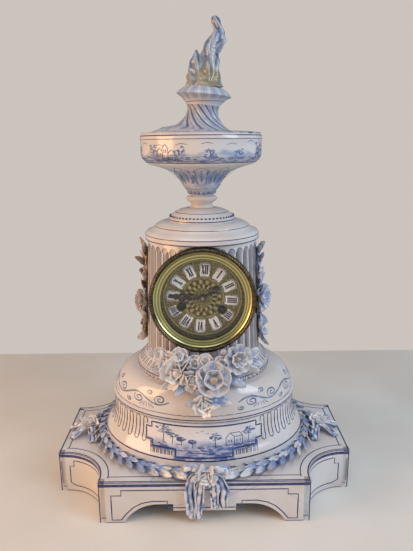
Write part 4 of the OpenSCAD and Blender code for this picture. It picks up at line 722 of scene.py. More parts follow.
def flute_pattern(skin):
    """Painted shade in each flute's hollow, a painted shadow down one side of it, and a brushed blue line
    round it.
    """
    turn = (skin.angle() + (360.0 + flute_turn / 2)).math("MODULO", flute_turn) - flute_turn / 2
    across = turn * (math.pi / 180 * flute_wall_r)
    gap = across.distance((skin.z - flute_top).max(0.0))
    outline = gap.line(4.3, 0.62) * skin.z.fade(184.0, 186.0)
    brush = skin.noise(14.0, 2.0).fade(0.2, 0.55)
    # Painted shade: each flute's hollow is greyed, and one side of it is darker still.
    shade = across.fade(3.5, -3.5) * gap.fade(4.6, 3.2) * 0.8
    painted_hollow_shade = gap.fade(4.7, 2.0) * 0.9
    return [(painted_hollow_shade, (0.36, 0.33, 0.33)), (shade, (0.2, 0.17, 0.17)),
            (outline * (brush * 0.35 + 0.65), (0.08, 0.1, 0.2))]


dressed(case, glaze("case_glaze", flute_pattern))

# Cover, urn foot and urn: turned shapes made in parts and stuck together in the glaze firing.
# Dark lines mark each edge, acanthus leaves climb the bowl, and its broad rim carries a painted
# country band with trees, houses and clouds.
cover = smoothed("case_cover")
dressed(cover, glaze("cover_glaze"))
cover_skin = sight(cover)
foot = smoothed("urn_foot")
dressed(foot, glaze("foot_glaze"))
foot_skin = sight(foot)
bowl = smoothed("urn_bowl")


def bowl_pattern(skin):
    """Washes under the band's scene and the acanthus: ground, far hills, clouds and a mottled stem."""
    hills = skin.noise(40.0, 2.0, (1.0, 1.0, 0.1)) * 14.0
    ground = (skin.z - hills).fade(417.0, 411.0) * skin.z.fade(414.0, 417.0)
    broken = skin.noise(6.0, 3.0, (0.4, 0.4, 2.0)).fade(0.36, 0.6)
    sky = skin.noise(22.0, 3.0, (0.4, 0.4, 2.4)).fade(0.5, 0.7) * skin.z.fade(432.0, 440.0)
    far_hills = skin.noise(26.0, 2.0, (1.0, 1.0, 0.1)) * 26.0
    far = (skin.z - far_hills).fade(416.0, 411.0) * skin.z.fade(414.0, 417.0)
    under = skin.z.fade(412.0, 400.0) * skin.z.fade(370.0, 380.0)
    mottled = skin.noise(9.0, 3.0).fade(0.35, 0.65)
    return [(sky * 0.45, (0.4, 0.45, 0.62)), (under * (mottled * 0.5 + 0.45), (0.2, 0.28, 0.45)),
            (far * (broken * 0.5 + 0.35), (0.3, 0.37, 0.52)),
            (ground * (broken * 0.7 + 0.3), (0.08, 0.12, 0.28))]


dressed(bowl, glaze("bowl_glaze", bowl_pattern))
bowl_skin = sight(bowl)
band_leaves = Brush(bowl_skin, round_path)
turned_lines = Brush(bowl_skin, round_path)
for skin, steps, rows in ((cover_skin, 96, ((323.5, 1.3), (329.0, 1.0), (338.5, 0.9))),
                          (foot_skin, 72, ((346.2, 1.3), (355.0, 0.9), (360.0, 0.9))),
                          (bowl_skin, 120, ((445.4, 1.4), (441.4, 0.8), (415.4, 1.5)))):
    for z, width in rows:
        ring(turned_lines, skin, z, width, steps)
acanthus = 10
leaf_foot = 383
# half of an acanthus leaf's outline below its tip: (share of its half width, height)
leaf_half = [(0.5, leaf_foot), (0.75, 391), (1.0, 399), (0.7, 403.5), (0.8, 406)]
for i in range(acanthus):
    for shift, high, half in ((0.0, 409.5, 15.0), (18.0, 405.0, 7.0)):
        angle = 360.0 * i / acanthus + shift
        half_marks = leaf_half + [(0.3, high - 1)]
        marks = [(angle - half * share, z) for share, z in half_marks] + [(angle, high)]
        marks += [(angle + half * share, z) for share, z in reversed(half_marks)]
        band_leaves.mark(marks, 1.6)
        vein = [(angle, leaf_foot + 1), (angle, 393), (angle, high - 3)]
        band_leaves.mark(vein, 2.0, taper=True)
band_ground = 418
band_grass = 40
for i in range(band_grass):
    rng = random.Random(90 + i)
    angle = rng.uniform(0, 360)
    z = rng.uniform(417, 422)
    blade = [(angle, z), (angle + 2.5, z + 0.5), (angle + 5, z - 0.3)]
    turned_lines.mark(blade, 1.1, taper=True)
band_trees = 13
band_dabs = 34
for i in range(band_trees):
    angle = 8 + 360.0 * i / band_trees
    rng = random.Random(200 + i)
    tall = rng.uniform(9, 16)
    root = band_ground + 1
    trunk = [(angle, root), (angle + 0.5, root + tall * 0.5), (angle - 0.2, root + tall)]
    turned_lines.mark(trunk, 1.1)
    for k in range(band_dabs):
        a = angle + rng.uniform(-5, 5)
        z = band_ground + tall * rng.uniform(0.15, 1.3)
        band_leaves.mark([(a - 1.2, z), (a, z + 0.8), (a + 1.2, z)], 1.3, taper=True)
# eaves' height and the two sides of each house of a row, in degrees from the row's start
row_houses = ((428, 0, 6), (432, 6, 12), (426, 12, 19))
for start in (-42, 60, 150, 235):
    for eaves, left, right in row_houses:
        house = [(start + left, band_ground), (start + left, eaves), (start + (left + right) / 2, eaves + 4),
                 (start + right, eaves), (start + right, band_ground)]
        turned_lines.mark(filled(house, 2.0), 1.2)
        for k in (1, 2):
            a = start + left + (right - left) * k / 3
            turned_lines.mark([(a, eaves - 5), (a, eaves - 1.5)], 1.6)
clouds = 16
for i in range(clouds):
    rng = random.Random(300 + i)
    a = 360.0 * i / clouds
    z = rng.uniform(433, 438)
    cloud = filled([(a, z), (a + 5, z + 1.6), (a + 11, z + 0.4)], 2.5)
    turned_lines.mark(cloud, 0.7, taper=True)
band_leaves.piece("band_foliage", leaf_paint)
turned_lines.piece("urn_lines", paint)


# Beads: a row of small eggs of clay stuck round the urn's foot and painted blue.
def made_real(name, tree, body):
    """Turns a node tree's result into a plain mesh that rides on a body."""
    holder = shown(formed(name + "_making", [], []))
    holder.modifiers.new(name, "NODES").node_group = tree
    bpy.context.view_layer.update()
    done = holder.evaluated_get(bpy.context.evaluated_depsgraph_get())
    mesh = bpy.data.meshes.new_from_object(done)
    mesh.name = name
    obj = shown(bpy.data.objects.new(name, mesh))
    bpy.data.objects.remove(holder)
    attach(obj, body)


def ring_copies(name, form, material, count, radius, place, body, tilt=0.0, stood_up=0.0):
    """Copies of a small form round a ring, each facing outwards and leaning by the tilt. The whole
    ring is stood up by an angle and set at its place, in metres."""
    tree = bpy.data.node_groups.new(name, "GeometryNodeTree")
    for label, kind, value in (("Count", "NodeSocketInt", count), ("Radius", "NodeSocketFloat", radius),
                               ("Place", "NodeSocketVector", place), ("Tilt", "NodeSocketFloat", tilt),
                               ("Stood Up", "NodeSocketFloat", stood_up)):
        tree.interface.new_socket(label, in_out="INPUT", socket_type=kind).default_value = value
    tree.interface.new_socket("Geometry", in_out="OUTPUT", socket_type="NodeSocketGeometry")
    given = added(tree, "NodeGroupInput", {}).outputs
    circle = added(tree, "GeometryNodeMeshCircle", {"Vertices": given["Count"], "Radius": given["Radius"]})
    position = added(tree, "GeometryNodeInputPosition", {}).outputs[0]
    facing = added(tree, "FunctionNodeAlignRotationToVector", {"Vector": position}, axis="X", pivot_axis="Z")
    turns = []
    for label, axis in (("Tilt", "Y"), ("Stood Up", "X")):
        angles = added(tree, "ShaderNodeCombineXYZ", {axis: given[label]}).outputs[0]
        turns.append(added(tree, "FunctionNodeEulerToRotation", {0: angles}).outputs[0])
    leaning = added(tree, "FunctionNodeRotateRotation",
                    {"Rotation": facing.outputs[0], "Rotate By": turns[0]}, rotation_space="LOCAL")
    source = added(tree, "GeometryNodeObjectInfo", {"Object": form}).outputs["Geometry"]
    copies = added(tree, "GeometryNodeInstanceOnPoints",
                   {"Points": circle.outputs[0], "Instance": source, "Rotation": leaning.outputs[0]})
    stand = added(tree, "GeometryNodeTransform",
                  {"Geometry": copies.outputs[0], "Rotation": turns[1], "Translation": given["Place"]})
    real = added(tree, "GeometryNodeRealizeInstances", {0: stand.outputs[0]})
    coat = added(tree, "GeometryNodeSetMaterial", {"Geometry": real.outputs[0], "Material": material})
    added(tree, "NodeGroupOutput", {0: coat.outputs[0]})
    made_real(name, tree, body)


def ball(name, size, sides=10, rings=6):
    """A closed egg of three radii in millimetres, used as the form of a bead."""
    wide, deep, high = [radius * MM for radius in size]
    points = [(0, 0, high)]
    faces = []
    for i in range(1, rings):
        a = math.pi * i / rings
        points += [(wide * math.sin(a) * math.cos(2 * math.pi * k / sides),
                    deep * math.sin(a) * math.sin(2 * math.pi * k / sides), high * math.cos(a))
                   for k in range(sides)]
    points.append((0, 0, -high))
    last = len(points) - 1
    for k in range(sides):
        n = (k + 1) % sides
        faces.append((0, 1 + k, 1 + n))
        faces += [(1 + (i - 1) * sides + k, 1 + i * sides + k, 1 + i * sides + n, 1 + (i - 1) * sides + n)
                  for i in range(1, rings - 1)]
        faces.append((last, last - sides + n, last - sides + k))
    form = formed(name, points, faces)
    form.data.shade_smooth()
    return form


bead = ball("bead_form", (1.4, 1.4, 1.2))
beads = 52
bead_z = 350.0 * MM
bead_seat = foot_skin.ray_cast(Vector((1, 0, bead_z)), Vector((-1, 0, 0)))[0]
ring_copies("foot_beads", bead, paint, beads, bead_seat.x, (0, 0, bead_z), "case")

# The knop under the bowl: lobes of clay set leaning against its stem and washed in blue.
knop_bead = ball("knop_form", (2.6, 2.2, 3.0), 12, 8)
knop_lobes = 20
knop_r = 15.6 * MM
knop_z = 379.2 * MM
knop_tilt = 0.5


def knop_pattern(skin):
    return [(skin.noise(6.0, 2.0).fade(0.2, 0.6) * 0.5 + 0.4, (0.13, 0.2, 0.42))]


knop_glaze = glaze("knop_glaze", knop_pattern)
ring_copies("knop_lobes", knop_bead, knop_glaze, knop_lobes, knop_r, (0, 0, knop_z), "case",
            knop_tilt)

# Lid: a flat cover drawn up into a neck with spiral flutes. It rests loose on the urn. The cover
# is feathered in blue, and dark and fine spirals are painted up the neck.
lid = smoothed("lid", 50.0, body="lid_group")
lid_z = 447.0
lid_h = 33.0
lid_lean = math.radians(5.0)
lid_line_r = 70.3
spiral_lead = 0.2
spiral_turn = 70.0
spiral_step = 360.0 / 14
spiral_fine = spiral_step / 2


def lid_pattern(skin):
    """Feathered strokes on the flat cover, and dark and fine spirals that climb the neck; the dark ones are
    blue lines with painted shade in the grooves.
    """
    radius = skin.x.distance(skin.y)
    strands = skin.noise(11.0, 3.0, (1.0, 1.0, 0.3)).fade(0.45, 0.6)
    feather = strands * radius.fade(40.0, 52.0) * radius.fade(71.0, 66.0)
    above = skin.z - lid_z
    upright_x = skin.x * math.cos(lid_lean) - above * math.sin(lid_lean)
    share = (skin.x * math.sin(lid_lean) + above * math.cos(lid_lean)) / lid_h
    turn = (share - spiral_lead).max(0.0) * (spiral_turn / (1 - spiral_lead))
    round_it = skin.y.math("ARCTAN2", upright_x) * math.degrees(1)
    phase = (round_it + turn + 720.0).math("MODULO", spiral_step) - spiral_step / 2
    fine_phase = (round_it + turn + spiral_fine / 2 + 720.0).math("MODULO", spiral_fine) - spiral_fine / 2
    on_neck = share.fade(0.06, 0.2)
    # The dark spirals are blue lines with painted shade in the grooves under them.
    groove_line_and_shade = phase.abs().fade(5.2, 2.2) * on_neck
    fine = fine_phase.abs().fade(2.2, 1.0) * on_neck
    wash = (skin.noise(6.0, 2.0).fade(0.3, 0.7) * 0.4 + 0.35) * on_neck
    return [(feather * 0.75, (0.2, 0.27, 0.48)), (wash, (0.3, 0.36, 0.5)), (fine * 0.6, (0.14, 0.18, 0.3)),
            (groove_line_and_shade * 0.9, (0.06, 0.09, 0.19))]


dressed(lid, glaze("lid_glaze", lid_pattern))
lid_skin = sight(lid)
rim_path = []
for k in range(120):
    a = 2 * math.pi * k / 120
    above = Vector((lid_line_r * math.cos(a), lid_line_r * math.sin(a), 480))
    place, normal, face, far = lid_skin.ray_cast(above * MM, -UP)
    if place is not None:
        rim_path.append((place, normal))
lid_lines = Brush()
lid_lines.stroke(rim_path, 1.4, closed=True)
lid_lines.piece("lid_lines", paint, body="lid_group")

# Collar: the notched cup of petals that the flame stands in, fired to the top of the lid's neck.
collar = smoothed("lid_collar", 50.0, body="lid_group")
collar_x = 4.0
petal_turn = 22.5
petal_low = 484.0


def petal_pattern(skin):
    """Blue wash on the petals, darker in the gaps between them, over one dark line."""
    round_it = (skin.x - collar_x).math("ARCTAN2", skin.y * -1.0) * math.degrees(1)
    turn = (round_it + 360.0).math("MODULO", petal_turn) - petal_turn / 2
    rib = turn.abs().fade(2.0, 5.0) * turn.abs().fade(10.5, 8.0)
    upper = skin.z.fade(petal_low, 489.0)
    return [(upper * 0.6, (0.42, 0.47, 0.56)), (rib * upper * 0.6, (0.24, 0.3, 0.45)),
            (turn.abs().fade(10.0, 11.0) * upper, (0.07, 0.1, 0.2)),
            (skin.z.line(petal_low, 0.5) * 0.8, (0.14, 0.17, 0.28))]


dressed(collar, glaze("collar_glaze", petal_pattern))

# Flame finial: modelled by hand in soft clay as tongues that lean and curl, then washed in blue,
# with ochre patches low on it that are painted warm light.
edge_share = 0.45


class Clay:
    """Soft clay forms collected as one closed skin after another, each point with its own paint."""

    def __init__(self):
        self.points = []
        self.faces = []
        self.paints = []

    def tube(self, rings, paints, closed=False):
        """A skin through rings of points, with a paint value for each point. Its ends are filled,
        or it closes on its own start."""
        start = len(self.points)
        sides = len(rings[0])
        for ring_points, ring_paints in zip(rings, paints):
            self.points += ring_points
            self.paints += ring_paints
        for i in range(len(rings) if closed else len(rings) - 1):
            a = start + i * sides
            b = start + (i + 1) % len(rings) * sides
            for k in range(sides):
                n = (k + 1) % sides
                self.faces.append((a + k, a + n, b + n, b + k))
        if not closed:
            last = start + (len(rings) - 1) * sides
            self.faces.append(tuple(start + k for k in reversed(range(sides))))
            self.faces.append(tuple(last + k for k in range(sides)))

    def sheet(self, rows, paints, thick):
        """A closed thin shell over a grid of points. thick is in millimetres at each row."""
        start = len(self.points)
        tall, wide = len(rows), len(rows[0])
        normals = []
        for i in range(tall):
            for j in range(wide):
                du = rows[min(i + 1, tall - 1)][j] - rows[max(i - 1, 0)][j]
                dv = rows[i][min(j + 1, wide - 1)] - rows[i][max(j - 1, 0)]
                normals.append(du.cross(dv).normalized())
        flat = [p for row in rows for p in row]
        for side in (0.5, -0.5):
            for i, (p, n) in enumerate(zip(flat, normals)):
                on_edge = i % wide in (0, wide - 1) or i // wide in (0, tall - 1)
                reach = thick[i // wide] * MM * side * (edge_share if on_edge else 1.0)
                self.points.append(p + n * reach)
            self.paints += [p for row in paints for p in row]
        under = start + tall * wide
        for i in range(tall - 1):
            for j in range(wide - 1):
                a = start + i * wide + j
                self.faces.append((a, a + wide, a + wide + 1, a + 1))
                b = under + i * wide + j
                self.faces.append((b, b + 1, b + wide + 1, b + wide))
        rim = [j for j in range(wide)] + [i * wide + wide - 1 for i in range(1, tall)]
        rim += [(tall - 1) * wide + j for j in reversed(range(wide - 1))]
        rim += [i * wide for i in reversed(range(1, tall - 1))]
        for a, b in zip(rim, rim[1:] + rim[:1]):
            self.faces.append((start + a, start + b, under + b, under + a))

    def piece(self, name, material, replaced=None, body="case", slot="blue_porcelain"):
        """Makes the clay one softened piece that rides on a body and may replace a solid."""
        obj = shown(formed(name, self.points, self.faces))
        obj.data.materials.append(material)
        layer = obj.data.attributes.new("paint", "FLOAT", "POINT")
        layer.data.foreach_set("value", self.paints)
        faced_out(obj.data)
        obj.data.shade_smooth()
        soft = obj.modifiers.new("soft", "SUBSURF")
        soft.levels = 1
        soft.render_levels = 1
        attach(obj, body)
        if replaced:
            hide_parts(replaced)


def painted_clay(name, white, deep, thin, warm=None, warm_share=(0.56, 0.66), warm_under=None):
    """Glazed clay that goes from white to thin and deep blue with the paint on each point. Warm
    patches may lie over it, or only under a height."""
    skin = Surface(name)
    laid = skin.attribute("paint") + (skin.noise(6.0, 3.0) - 0.5) * 0.7
    colour = skin.mixed(laid.fade(0.18, 0.5), white, thin)
    colour = skin.mixed(laid.fade(0.55, 1.0), colour, deep)
    if warm:
        patches = skin.noise(20.0, 2.0).fade(*warm_share)
        if warm_under:
            patches = patches * skin.z.fade(warm_under, warm_under - 22.0)
        colour = skin.mixed(patches * 0.75, colour, warm)
    skin.colour(colour)
    skin.rough(skin.noise(9.0), 0.08, 0.22)
    skin.bump(skin.noise(3.5, 3.0), 0.35, 0.35)
    skin.set(Specular_IOR_Level=0.55, Coat_Weight=0.4, Coat_Roughness=0.05)
    return skin.material


def between(a, b, c, d, f):
    """A smooth curve through b and c at the share f, led by the points before and after them."""
    return 0.5 * (2 * b + (c - a) * f + (2 * a - 5 * b + 4 * c - d) * f * f
                  + (3 * b - a - 3 * c + d) * f ** 3)


tongue_steps = 30
tip_least = 0.4


def tongue(clay, spine, sides, lobes, depth, twist):
    """A flame tongue: spine rows are (x, y, z, radius across, radius deep) in millimetres."""
    rings = []
    paints = []
    for i in range(tongue_steps + 1):
        t = i / tongue_steps * (len(spine) - 1)
        k = min(int(t), len(spine) - 2)
        rows = [spine[max(k - 1, 0)], spine[k], spine[k + 1], spine[min(k + 2, len(spine) - 1)]]
        x, y, z, rx, ry = [between(*four, t - k) for four in zip(*rows)]
        rx = max(rx, tip_least)
        ry = max(ry, tip_least)
        shift = twist * i / tongue_steps * math.pi
        ring_points = []
        ring_paints = []
        for s in range(sides):
            a = 2 * math.pi * s / sides
            fold = math.cos(lobes * (a + shift))
            lump = noise.noise(Vector((math.cos(a), math.sin(a), z / 9.0 + lobes)) * 1.3)
            r = 1 + depth * fold + 0.28 * lump
            ring_points.append(Vector((x + rx * r * math.cos(a), y + ry * r * math.sin(a), z)) * MM)
            ring_paints.append(0.35 - 0.35 * fold + 0.25 * i / tongue_steps)
        rings.append(ring_points)
        paints.append(ring_paints)
    clay.tube(rings, paints)


flame = Clay()
tall_tongue = [(3, 0, 499, 23, 20), (4, 0, 505, 18, 17), (5.5, 0, 513, 14.5, 14), (8, 0, 526, 12.5, 12.5),
               (10.5, 0, 535, 11, 11), (14, 0, 542, 10, 10), (18, 0, 549, 9.5, 8.5), (20.5, 0, 556, 9, 8),
               (21.5, 0, 562, 6.6, 6.5), (19, 0, 570, 5.2, 5), (17.6, 0, 575, 4.4, 4.2),
               (17.2, 0, 578, 1.6, 1.6)]
small_tongues = (
    ([(-6, -5, 499, 13, 11), (-7, -5, 508, 9.5, 9), (-6, -5, 518, 7.5, 8), (-6, -4, 528, 6, 7),
      (-4.5, -3, 536, 3.6, 4.6), (-4.6, -2, 541.5, 0.8, 1)], 0.8),
    ([(15, -4, 500, 11, 11), (17, -4, 510, 7, 8), (16.5, -5, 520, 6, 6.5), (18, -4, 530, 4.4, 5),
      (20, -3, 538, 0.8, 1)], -0.7),
    ([(12, 8, 500, 12, 11), (13, 9, 514, 9, 8), (11, 8, 528, 6, 6), (13, 7, 540, 3.6, 4),
      (16, 6, 549, 0.8, 1)], -0.8),
    ([(-2, 9, 500, 11, 10), (-4, 9, 513, 8, 7), (-2, 9, 525, 5, 5), (1, 8, 535, 2.6, 3),
      (3, 8, 541, 0.8, 1)], 0.6),
    ([(16, -4, 536, 5, 6), (22, -4, 544, 5.4, 5), (26, -3, 551, 4.2, 4), (27, -2, 558, 0.8, 1)], 0.5),
    ([(12, -5, 530, 6, 6), (9, -6, 540, 5.4, 5), (10, -5, 549, 4, 4), (13.5, -3, 557, 0.8, 1)], -0.5),
    ([(5, -9, 500, 10, 8), (6, -10, 512, 7, 6), (8, -9, 524, 5, 5), (9, -8, 534, 0.8, 1)], 0.7))
tongue(flame, tall_tongue, 28, 4, 0.1, 1.1)
for spine, twist in small_tongues:
    tongue(flame, spine, 16, 3, 0.14, twist)
# The ochre patches on the flame's lower part are painted warm light.
flame_glaze = painted_clay("flame_glaze", (0.4, 0.43, 0.46), (0.05, 0.08, 0.19), (0.19, 0.25, 0.36),
                           (0.3, 0.24, 0.1), (0.4, 0.54), 536.0)
flame.piece("flame_tongues", flame_glaze, "flame", "lid_group", "porcelain")

# Applied flowers and leaves: each petal and leaf is pressed thin, veined with a tool, laid on the
# leather-hard case with slip, and painted blue where the clay folds.
petal_grid = 7
petal_broadest = 0.62


def petal_rows(base, along, out, length, width, cup, curl, ripple, seed, blunt=True):
    """Grid of a petal or leaf that starts at base, in metres, runs along and faces out. A petal is
    blunt, and a leaf is pointed."""
    side = along.cross(out).normalized()
    rows = []
    paints = []
    for i in range(petal_grid):
        t = i / (petal_grid - 1)
        if blunt:
            half = width / 2 * (0.4 + 0.6 * math.sin(math.pi / 2 * min(1.0, t / petal_broadest)))
            half *= math.sqrt(max(0.0, 1 - (max(0.0, t - petal_broadest) / 0.42) ** 2))
        else:
            half = width / 2 * math.sin(math.pi * min(1.0, 0.16 + 0.8 * t)) ** 0.8
        lift = curl * t * t * length
        row = []
        row_paint = []
        for j in range(petal_grid):
            s = 2 * j / (petal_grid - 1) - 1
            wave = ripple * math.sin(5 * t * math.pi + seed) * abs(s) ** 2
            rib = -0.05 * length * (1 - abs(s)) ** 3
            height = lift + cup * (s * s - 0.5) * half + wave + rib
            row.append(base + (along * length * t + side * half * s + out * height) * MM)
            row_paint.append(0.04 + 0.5 * (1 - t) ** 2 + (0.2 if abs(s) > 0.9 else 0.0))
        rows.append(row)
        paints.append(row_paint)
    return rows, paints


def turned(vector, axis, degrees):
    """A direction turned about an axis."""
    return Matrix.Rotation(math.radians(degrees), 3, axis) @ vector


def across_of(out):
    """A direction square to the way a flower faces."""
    guide = UP if abs(out.z) < 0.9 else Vector((1, 0, 0))
    return guide.cross(out).normalized()


petal_thick = [2.4, 2.6, 2.6, 2.4, 2.1, 1.8, 1.3]
bud_thick = [1.8, 2.0, 2.0, 1.8, 1.6, 1.4, 1.0]
leaf_thick = [2.4, 2.6, 2.4, 2.1, 1.8, 1.4, 1.0]
heart_sides = 10
heart_least = 0.3


def heart_ring(base, out, first, radius, rise):
    """Ten points round a flower's axis at a rise over its base, in millimetres."""
    return [base + (out * rise + turned(first, out, 36 * k) * max(radius, heart_least)) * MM
            for k in range(heart_sides)]


def flower(clay, place, out, radius, petals, layers, heart, blue, seed):
    """An open flower: place is in millimetres, out is where it faces."""
    out = out.normalized()
    first = across_of(out)
    base = Vector(place) * MM
    for layer in range(layers):
        size = radius * (1.0 - 0.3 * layer)
        rise = 14 + 26 * layer
        for k in range(petals):
            along = turned(first, out, 360.0 * (k + 0.5 * layer) / petals + seed * 17)
            side = along.cross(out)
            along = turned(along, side, rise)
            face = turned(out, side, rise)
            rows, paints = petal_rows(base + (along * size * 0.1 + out * layer * 1.2) * MM, along, face, size,
                                      size * 2 * math.pi / petals * 1.02, 0.62, 0.14, 0.05 * size, seed + k)
            clay.sheet(rows, [[p + blue for p in row] for row in paints], petal_thick)
    rings = []
    values = []
    for i in range(6):
        a = math.pi / 2 * i / 5
        swell = radius * heart
        rings.append(heart_ring(base, out, first, swell * math.cos(a), swell * math.sin(a) + 1.5))
        values.append([0.7 - 0.5 * math.sin(a)] * heart_sides)
    rings.insert(0, [p - out * 3 * MM for p in rings[0]])
    values.insert(0, values[0])
    clay.tube(rings, values)


def bud(clay, place, out, radius, seed):
    """A closed rose: cupped petals wrapped round an egg."""
    out = out.normalized()
    first = across_of(out)
    base = Vector(place) * MM
    for layer, (petals, reach, rise) in enumerate(((5, 1.0, 38), (4, 0.85, 58), (3, 0.72, 74))):
        for k in range(petals):
            level = turned(first, out, 360.0 * (k + 0.37 * layer) / petals + seed * 23)
            side = level.cross(out)
            along = turned(level, side, rise)
            face = turned(out, side, rise - 90)
            start = base + (level * radius * 0.42 * (1 - 0.25 * layer)) * MM
            rows, paints = petal_rows(start, along, -face, radius * 1.15 * reach, radius * 1.5 * reach,
                                      -0.5, -0.24, 0.4, k)
            clay.sheet(rows, paints, bud_thick)
    rings = []
    for i in range(7):
        a = -math.pi / 2 + math.pi * i / 6
        rise = radius * (0.4 + 0.45 * math.sin(a))
        rings.append(heart_ring(base, out, first, radius * 0.5 * math.cos(a), rise))
    clay.tube(rings, [[0.25] * heart_sides] * len(rings))


def leaf(clay, place, along, out, length, width, seed, blue=0.2, curl=0.16):
    """A pointed leaf from its place, in millimetres, that runs along and faces out."""
    face = (out - along * out.dot(along)).normalized()
    rows, paints = petal_rows(Vector(place) * MM, along.normalized(), face, length, width,
                              -0.35, curl, 0.06 * length, seed, False)
    clay.sheet(rows, [[p + blue for p in row] for row in paints], leaf_thick)


mound_rings = 9
mound_sides = 16


def mound(clay, place, out, size, seed=0):
    """A lump of clay that carries the flowers: size is (across, up, deep) in millimetres."""
    out = out.normalized()
    across = UP.cross(out).normalized()
    high = out.cross(across)
    wide, tall, deep = size
    rings = []
    for i in range(mound_rings):
        a = -math.pi / 2 + math.pi * i / (mound_rings - 1)
        row = []
        for k in range(mound_sides):
            b = 2 * math.pi * k / mound_sides
            lump = math.cos(a) * (1 + 0.12 * math.sin(3 * b + seed + 2 * a))
            row.append((Vector(place) + across * wide * math.cos(b) * lump + high * tall * math.sin(b) * lump
                        + out * deep * math.sin(a)) * MM)
        rings.append(row)
    clay.tube(rings, [[0.55] * mound_sides] * mound_rings)


flower_glaze = painted_clay("flower_glaze", (0.74, 0.71, 0.69), (0.05, 0.08, 0.25), (0.34, 0.41, 0.6))
leaf_glaze = painted_clay("leaf_glaze", (0.68, 0.68, 0.69), (0.03, 0.05, 0.2), (0.24, 0.33, 0.54),
                          (0.46, 0.42, 0.34))
heart_glaze = painted_clay("heart_glaze", (0.52, 0.42, 0.3), (0.2, 0.15, 0.12), (0.4, 0.31, 0.22))
# The left garland's glazes: the leaf and flower glazes tinted ochre, as painted warm light from the left.
warm_lit_leaves = painted_clay("warm_lit_leaf_glaze", (0.55, 0.5, 0.44), (0.06, 0.08, 0.16), (0.26, 0.27, 0.33),
                          (0.36, 0.24, 0.13), (0.42, 0.56))
warm_lit_blooms = painted_clay("warm_lit_bloom_glaze", (0.6, 0.53, 0.46), (0.07, 0.08, 0.15), (0.32, 0.31, 0.36),
                           (0.4, 0.27, 0.15), (0.45, 0.6))
bouquet = Clay()
greens = Clay()
front = Vector((0, -1, 0.25))
bouquet_mounds = (((-30, -77, 178), (27, 17, 14)), ((6, -83, 175), (28, 20, 17)),
                  ((36, -74, 184), (24, 17, 13)), ((4, -92, 157), (16, 15, 12)), ((6, -99, 147), (13, 9, 8)))
for place, size in bouquet_mounds:
    mound(greens, place, front, size, place[0])
# place, the way it faces, radius, petals, share of the heart, blue wash, and a number for its turn
open_flowers = (((11, -96, 173), (0.1, -1, 0.35), 20, 5, 0.2, 0.0, 1),
                ((39, -83, 192), (0.4, -1, 0.25), 17.5, 8, 0.2, 0.1, 2),
                ((-9.5, -86, 187), (-0.1, -1, 0.5), 10.5, 5, 0.26, 0.0, 3),
                ((2, -87, 190), (0.1, -1, 0.6), 9.5, 5, 0.26, 0.0, 4),
                ((-49, -72, 193), (-0.7, -1, 0.2), 10, 5, 0.26, 0.05, 7),
                ((-27, -83, 195), (-0.3, -1, 0.5), 11, 6, 0.26, 0.05, 10),
                ((20, -88, 188), (0.3, -1, 0.5), 9, 5, 0.26, 0.1, 11),
                ((-33, -88, 165), (-0.4, -1, -0.2), 9, 6, 0.26, 0.1, 12))
for place, facing, radius, petals, heart, blue, seed in open_flowers:
    flower(bouquet, place, Vector(facing), radius, petals, 2, heart, blue, seed)
closed_roses = (((-29.5, -86, 177), (-0.35, -1, 0.2), 12.5, 5), ((-40, -77, 188), (-0.5, -1, 0.3), 8.5, 6),
                ((-12, -93, 172), (-0.2, -1, 0), 9, 8), ((2, -103, 146), (0, -1, 0.1), 9.5, 9))
for place, facing, radius, seed in closed_roses:
    bud(bouquet, place, Vector(facing), radius, seed)
# place, the way it runs, length and width
bouquet_leaves = (
    ((-18, -92, 168), (-0.8, -0.3, -0.75), 22, 13), ((-30, -86, 168), (-1, -0.1, -0.5), 22, 12),
    ((-44, -74, 178), (-1, 0.2, -0.3), 20, 11), ((-52, -66, 188), (-0.8, 0.35, 0.3), 18, 11),
    ((14, -95, 160), (0.6, -0.2, -0.9), 22, 13), ((28, -88, 170), (1, 0, -0.5), 24, 13),
    ((46, -76, 178), (1, 0.3, -0.3), 22, 12), ((52, -70, 190), (0.8, 0.5, 0.35), 18, 11),
    ((12, -102, 147), (1, 0.05, -0.1), 20, 11), ((-4, -102, 147), (-1, 0.05, -0.2), 18, 10),
    ((4, -102, 152), (0.3, -0.3, 1), 15, 10), ((22, -84, 196), (0.3, -0.4, 1), 14, 9),
    ((-22, -84, 192), (-0.3, -0.3, 1), 14, 9), ((56, -62, 180), (0.9, 0.5, -0.5), 20, 11),
    ((-14, -90, 182), (-0.3, -0.6, 0.6), 12, 9))
for seed, (place, along, length, width) in enumerate(bouquet_leaves, 1):
    leaf(greens, place, Vector(along), front, length, width, seed)
hearts = Clay()
for place, size in (((12, -106, 175.5), 4.6), ((40.5, -91, 194.5), 3.4),
                    ((-9.8, -92, 190), 2.4), ((2.3, -92.5, 193), 2.2)):
    mound(hearts, place, front, (size, size, size * 0.7))
hearts.piece("bouquet_hearts", heart_glaze)
bouquet.piece("bouquet_flowers", flower_glaze, "front_bouquet")
greens.piece("bouquet_leaves", leaf_glaze)

# Garlands down the two sides of the case: a winding stem with leaves that point up and down from
# its middle, one open rose and three small blooms. The left one is tinted ochre as painted warm light; the
# right one is blue.
case_low_z = 177.0
case_low_r = 73.5
case_taper = 5.5 / 145.0
stem_sides = 10
stem_steps = 17
garland_low = 193
garland_h = 118
garland_middle = 246


def oval_ring(centre, across, high, wide, tall):
    """Points round an oval, with its two radii in millimetres."""
    angles = [2 * math.pi * k / stem_sides for k in range(stem_sides)]
    return [(centre + across * wide * math.cos(a) + high * tall * math.sin(a)) * MM for a in angles]


def on_side(side, degrees, z, lift):
    """A place on one side of the case and the way it faces, lifted by millimetres."""
    a = math.radians(degrees)
    r = case_low_r - case_taper * (z - case_low_z) + lift
    return Vector((side * r * math.cos(a), r * math.sin(a), z)), Vector((side * math.cos(a), math.sin(a), 0))


